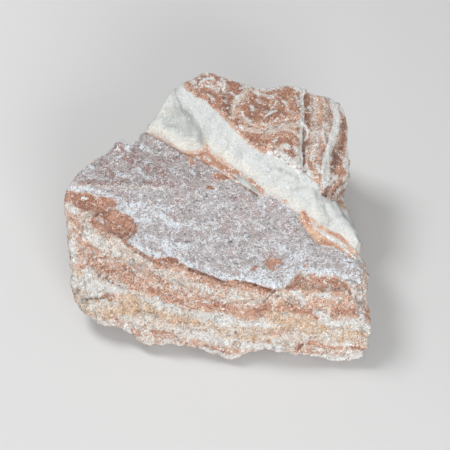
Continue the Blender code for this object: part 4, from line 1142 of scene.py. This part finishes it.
def stoneMaterial():
    material = bpy.data.materials.new("bandedAragonite")
    material.use_nodes = True
    tree = material.node_tree
    shader = tree.nodes["Principled BSDF"]
    where = place("TexCoord", {}, tree).outputs["Object"]
    hue = {name: paint(*value) for name, value in colours.items()}
    field = {}
    for name in zoneNames + tuple(marks):
        field[name] = place("Attribute", {}, tree, attribute_name=name).outputs["Fac"]
    noises = stoneNoises(where, field["bed"])
    zone = stoneZones(field, noises)
    mask = stainMasks(where, field, noises, zone)
    worn = either(mask["rust"], mask["salmon"])
    zone["skin"] = times(zone["skin"], opposite(worn))

    # rock and skin
    colour = rockColour(hue, noises, zone, mask)
    colour = mix(zone["skin"], colour, skinColour(hue, noises, zone, mask))
    creamOnSkin = times(zone["skin"], mask["cream"], finish["creamOnSkin"])
    colour = mix(creamOnSkin, colour, hue["cream"])
    # grey crystal, and painted shade in hollows, holes and grooves
    slateAndShade = mix(zone["white"], hue["slateAndShade"], hue["paintedShadeOnWhite"])
    colour = mix(mask["slateAndShade"], colour, slateAndShade)

    # tone of each small crystal
    crunch = opposite(times(zone["white"], finish["calmWhite"]))
    inputs = {"Where": where, "Size": finish["grainSize"]}
    grain = place("Group", inputs, node_tree=crystalGrainGroup()).outputs
    tone = plus(times(grain["Shade"], finish["grainTone"]), times(noises["fine"], finish["fineTone"]))
    crisp = ease(noises["crisp"], *finish["crispTone"])
    tone = plus(times(less(tone, finish["evenTone"]), crisp), 1.0)
    tones = place("CombineColor", {0: tone, 1: tone, 2: tone}).outputs[0]
    colour = mix(crunch, colour, tones, "MULTIPLY")

    # separate crystals, and dark specks that are painted shade of small pits
    specks = specksGroup()
    covers = {
        "crust": times(zone["crust"], zone["upper"]),
        "white": zone["white"],
        "stained": worn,
        "skin": zone["skin"],
        "coarse": times(zone["skin"], zone["coarse"]),
    }

    def speckled(kind, amount):
        look = dots[kind]
        inputs = {
            "Amount": amount, "Where": where, "Shift": look["shift"],
            "Size": look["size"], "Cluster": look["cluster"],
        }
        node = place("Group", inputs, node_tree=specks)
        return times(node.outputs["Mask"], look["cover"])

    # dark specks multiply in the painted shade of small pits
    pitShade = speckled("pitShade", crystalShare("pitShade", covers))
    colour = mix(pitShade, colour, hue["shade"], "MULTIPLY")
    # painted shade in cracks, grooves, pockets and under the skin's edge, with some darker brown
    colour = mix(mask["umberAndShade"], colour, hue["umberAndShade"])

    # powder where it gathers, and between it clear pale crystals, painted as a lit copy of the stone: a
    # painted highlight
    chalk = mix(zone["skin"], hue["chalk"], hue["powder"])
    chalk = mix(powder["tone"], chalk, tones, "MULTIPLY")
    inputs = {0: 1.0, 6: colour, 7: (powder["lit"],) * 3 + (1.0,)}
    settings = {"data_type": "RGBA", "blend_type": "MULTIPLY", "clamp_result": True}
    lit = place("Mix", inputs, **settings).outputs[2]
    clumps = times(less(noises["clumps"], 0.5), powder["clumps"])
    onWorn = times(either(zone["crust"], worn), powder["onWorn"])
    offSkin = times(opposite(zone["skin"]), powder["offSkin"])
    gathered = ease(plus(field["chalk"], clumps, onWorn, offSkin), *powder["gathers"])
    chalk = mix(gathered, lit, chalk)

    # solid white crystal on bare rock, painted lighter above the flat face to make up for shade
    white = mix(zone["upper"], hue["frost"], hue["frostLitOnUpper"])
    white = mix(frost["tone"], white, tones, "MULTIPLY")
    frosted = times(
        mask["chalk"],
        opposite(times(mask["ochre"], frost["offOchre"])),
        opposite(times(worn, ease(field["chalk"], *frost["offWorn"]))),
        opposite(either(zone["skin"], times(zone["crust"], frost["offCrust"]))),
    )
    colour = mix(frosted, colour, white)

    # pale crystals over everything: powder, and painted highlights
    between = opposite(times(field["chalk"], powder["filled"]))
    laid = plus(field["chalk"], times(crystalShare("pale", covers), between))
    stained = times(either(mask["ochre"], mask["rust"]), powder["offStains"])
    laid = times(laid, opposite(stained))
    closed = either(zone["skin"], times(zone["upper"], powder["upper"]))
    coarse = speckled("coarse", times(laid, ease(closed, *powder["coarseDots"])))
    fine = speckled("fine", times(laid, ease(zone["upper"], *powder["fineDots"])))
    pale = either(coarse, fine)
    feed(shader.inputs["Base Color"], mix(pale, colour, chalk))

    roughness = ease(grain["Shade"], 0.0, 1.0, *finish["roughness"])
    feed(shader.inputs["Roughness"], roughness)
    shader.inputs["Metallic"].default_value = 0.0
    shader.inputs["Specular IOR Level"].default_value = finish["specular"]

    height = plus(
        times(grain["Height"], crunch, bumps["grain"]),
        times(noises["middle"], crunch, bumps["middle"]),
        times(noises["fibres"], mask["ochre"], bumps["fibres"]),
        times(pale, bumps["dots"]),
    )
    bump = place("Bump", {"Strength": 1.0, "Distance": mm, "Height": height})
    feed(shader.inputs["Normal"], bump.outputs["Normal"])
    print("material built")
    return material


# metres and watts
studio = {
    "nearest": 0.01,  # that the camera sees
    "floorHalf": 6.0,
    "floorColour": (0.6, 0.6, 0.6, 1.0),
    "floorRoughness": 0.9,
    "skyColour": (1.0, 1.0, 1.0, 1.0),
    "skyStrength": 0.42,
    "lamps": {
        "keyLight": {"at": (-0.32, 0.20, 0.60), "size": 0.22, "power": 3.0},
        "fillLight": {"at": (0.20, -0.70, 0.26), "size": 0.40, "power": 5.5},
    },
}


def softBox(name, at, size, power):
    lamp = bpy.data.lights.new(name, "AREA")
    lamp.size = size
    lamp.energy = power
    holder = bpy.data.objects.new(name, lamp)
    bpy.context.scene.collection.objects.link(holder)
    holder.location = at
    aim = Vector(at) - Vector(sheetCentre) * mm
    holder.rotation_euler = aim.to_track_quat("Z", "Y").to_euler()


def makeStudio():
    half = studio["floorHalf"]
    corners = [(-half, -half, 0), (half, -half, 0), (half, half, 0), (-half, half, 0)]
    mesh = bpy.data.meshes.new("floor")
    mesh.from_pydata(corners, [], [(0, 1, 2, 3)])
    floor = bpy.data.objects.new("floor", mesh)
    bpy.context.scene.collection.objects.link(floor)
    material = bpy.data.materials.new("floor")
    material.use_nodes = True
    shader = material.node_tree.nodes["Principled BSDF"]
    shader.inputs["Base Color"].default_value = studio["floorColour"]
    shader.inputs["Roughness"].default_value = studio["floorRoughness"]
    mesh.materials.append(material)

    world = bpy.data.worlds.new("studio")
    world.use_nodes = True
    sky = world.node_tree.nodes["Background"]
    sky.inputs["Color"].default_value = studio["skyColour"]
    sky.inputs["Strength"].default_value = studio["skyStrength"]
    bpy.context.scene.world = world
    for name, lamp in studio["lamps"].items():
        softBox(name, **lamp)
    print("studio set")


def makeCamera():
    camera = bpy.data.cameras.new("camera")
    camera.lens = sheet["lens"]
    camera.sensor_width = sheet["sensor"]
    camera.clip_start = studio["nearest"]
    holder = bpy.data.objects.new("camera", camera)
    bpy.context.scene.collection.objects.link(holder)
    holder.location = Vector(eye) * mm
    holder.rotation_euler = Vector(sheetTowards).to_track_quat("Z", "Y").to_euler()
    bpy.context.scene.camera = holder
    print("camera set")


makeCamera()
piece = makeStone()
piece.data.materials.append(stoneMaterial())
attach(piece, "root")
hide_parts("aragonite")
makeStudio()
bpy.context.scene.view_settings.view_transform = "Standard"
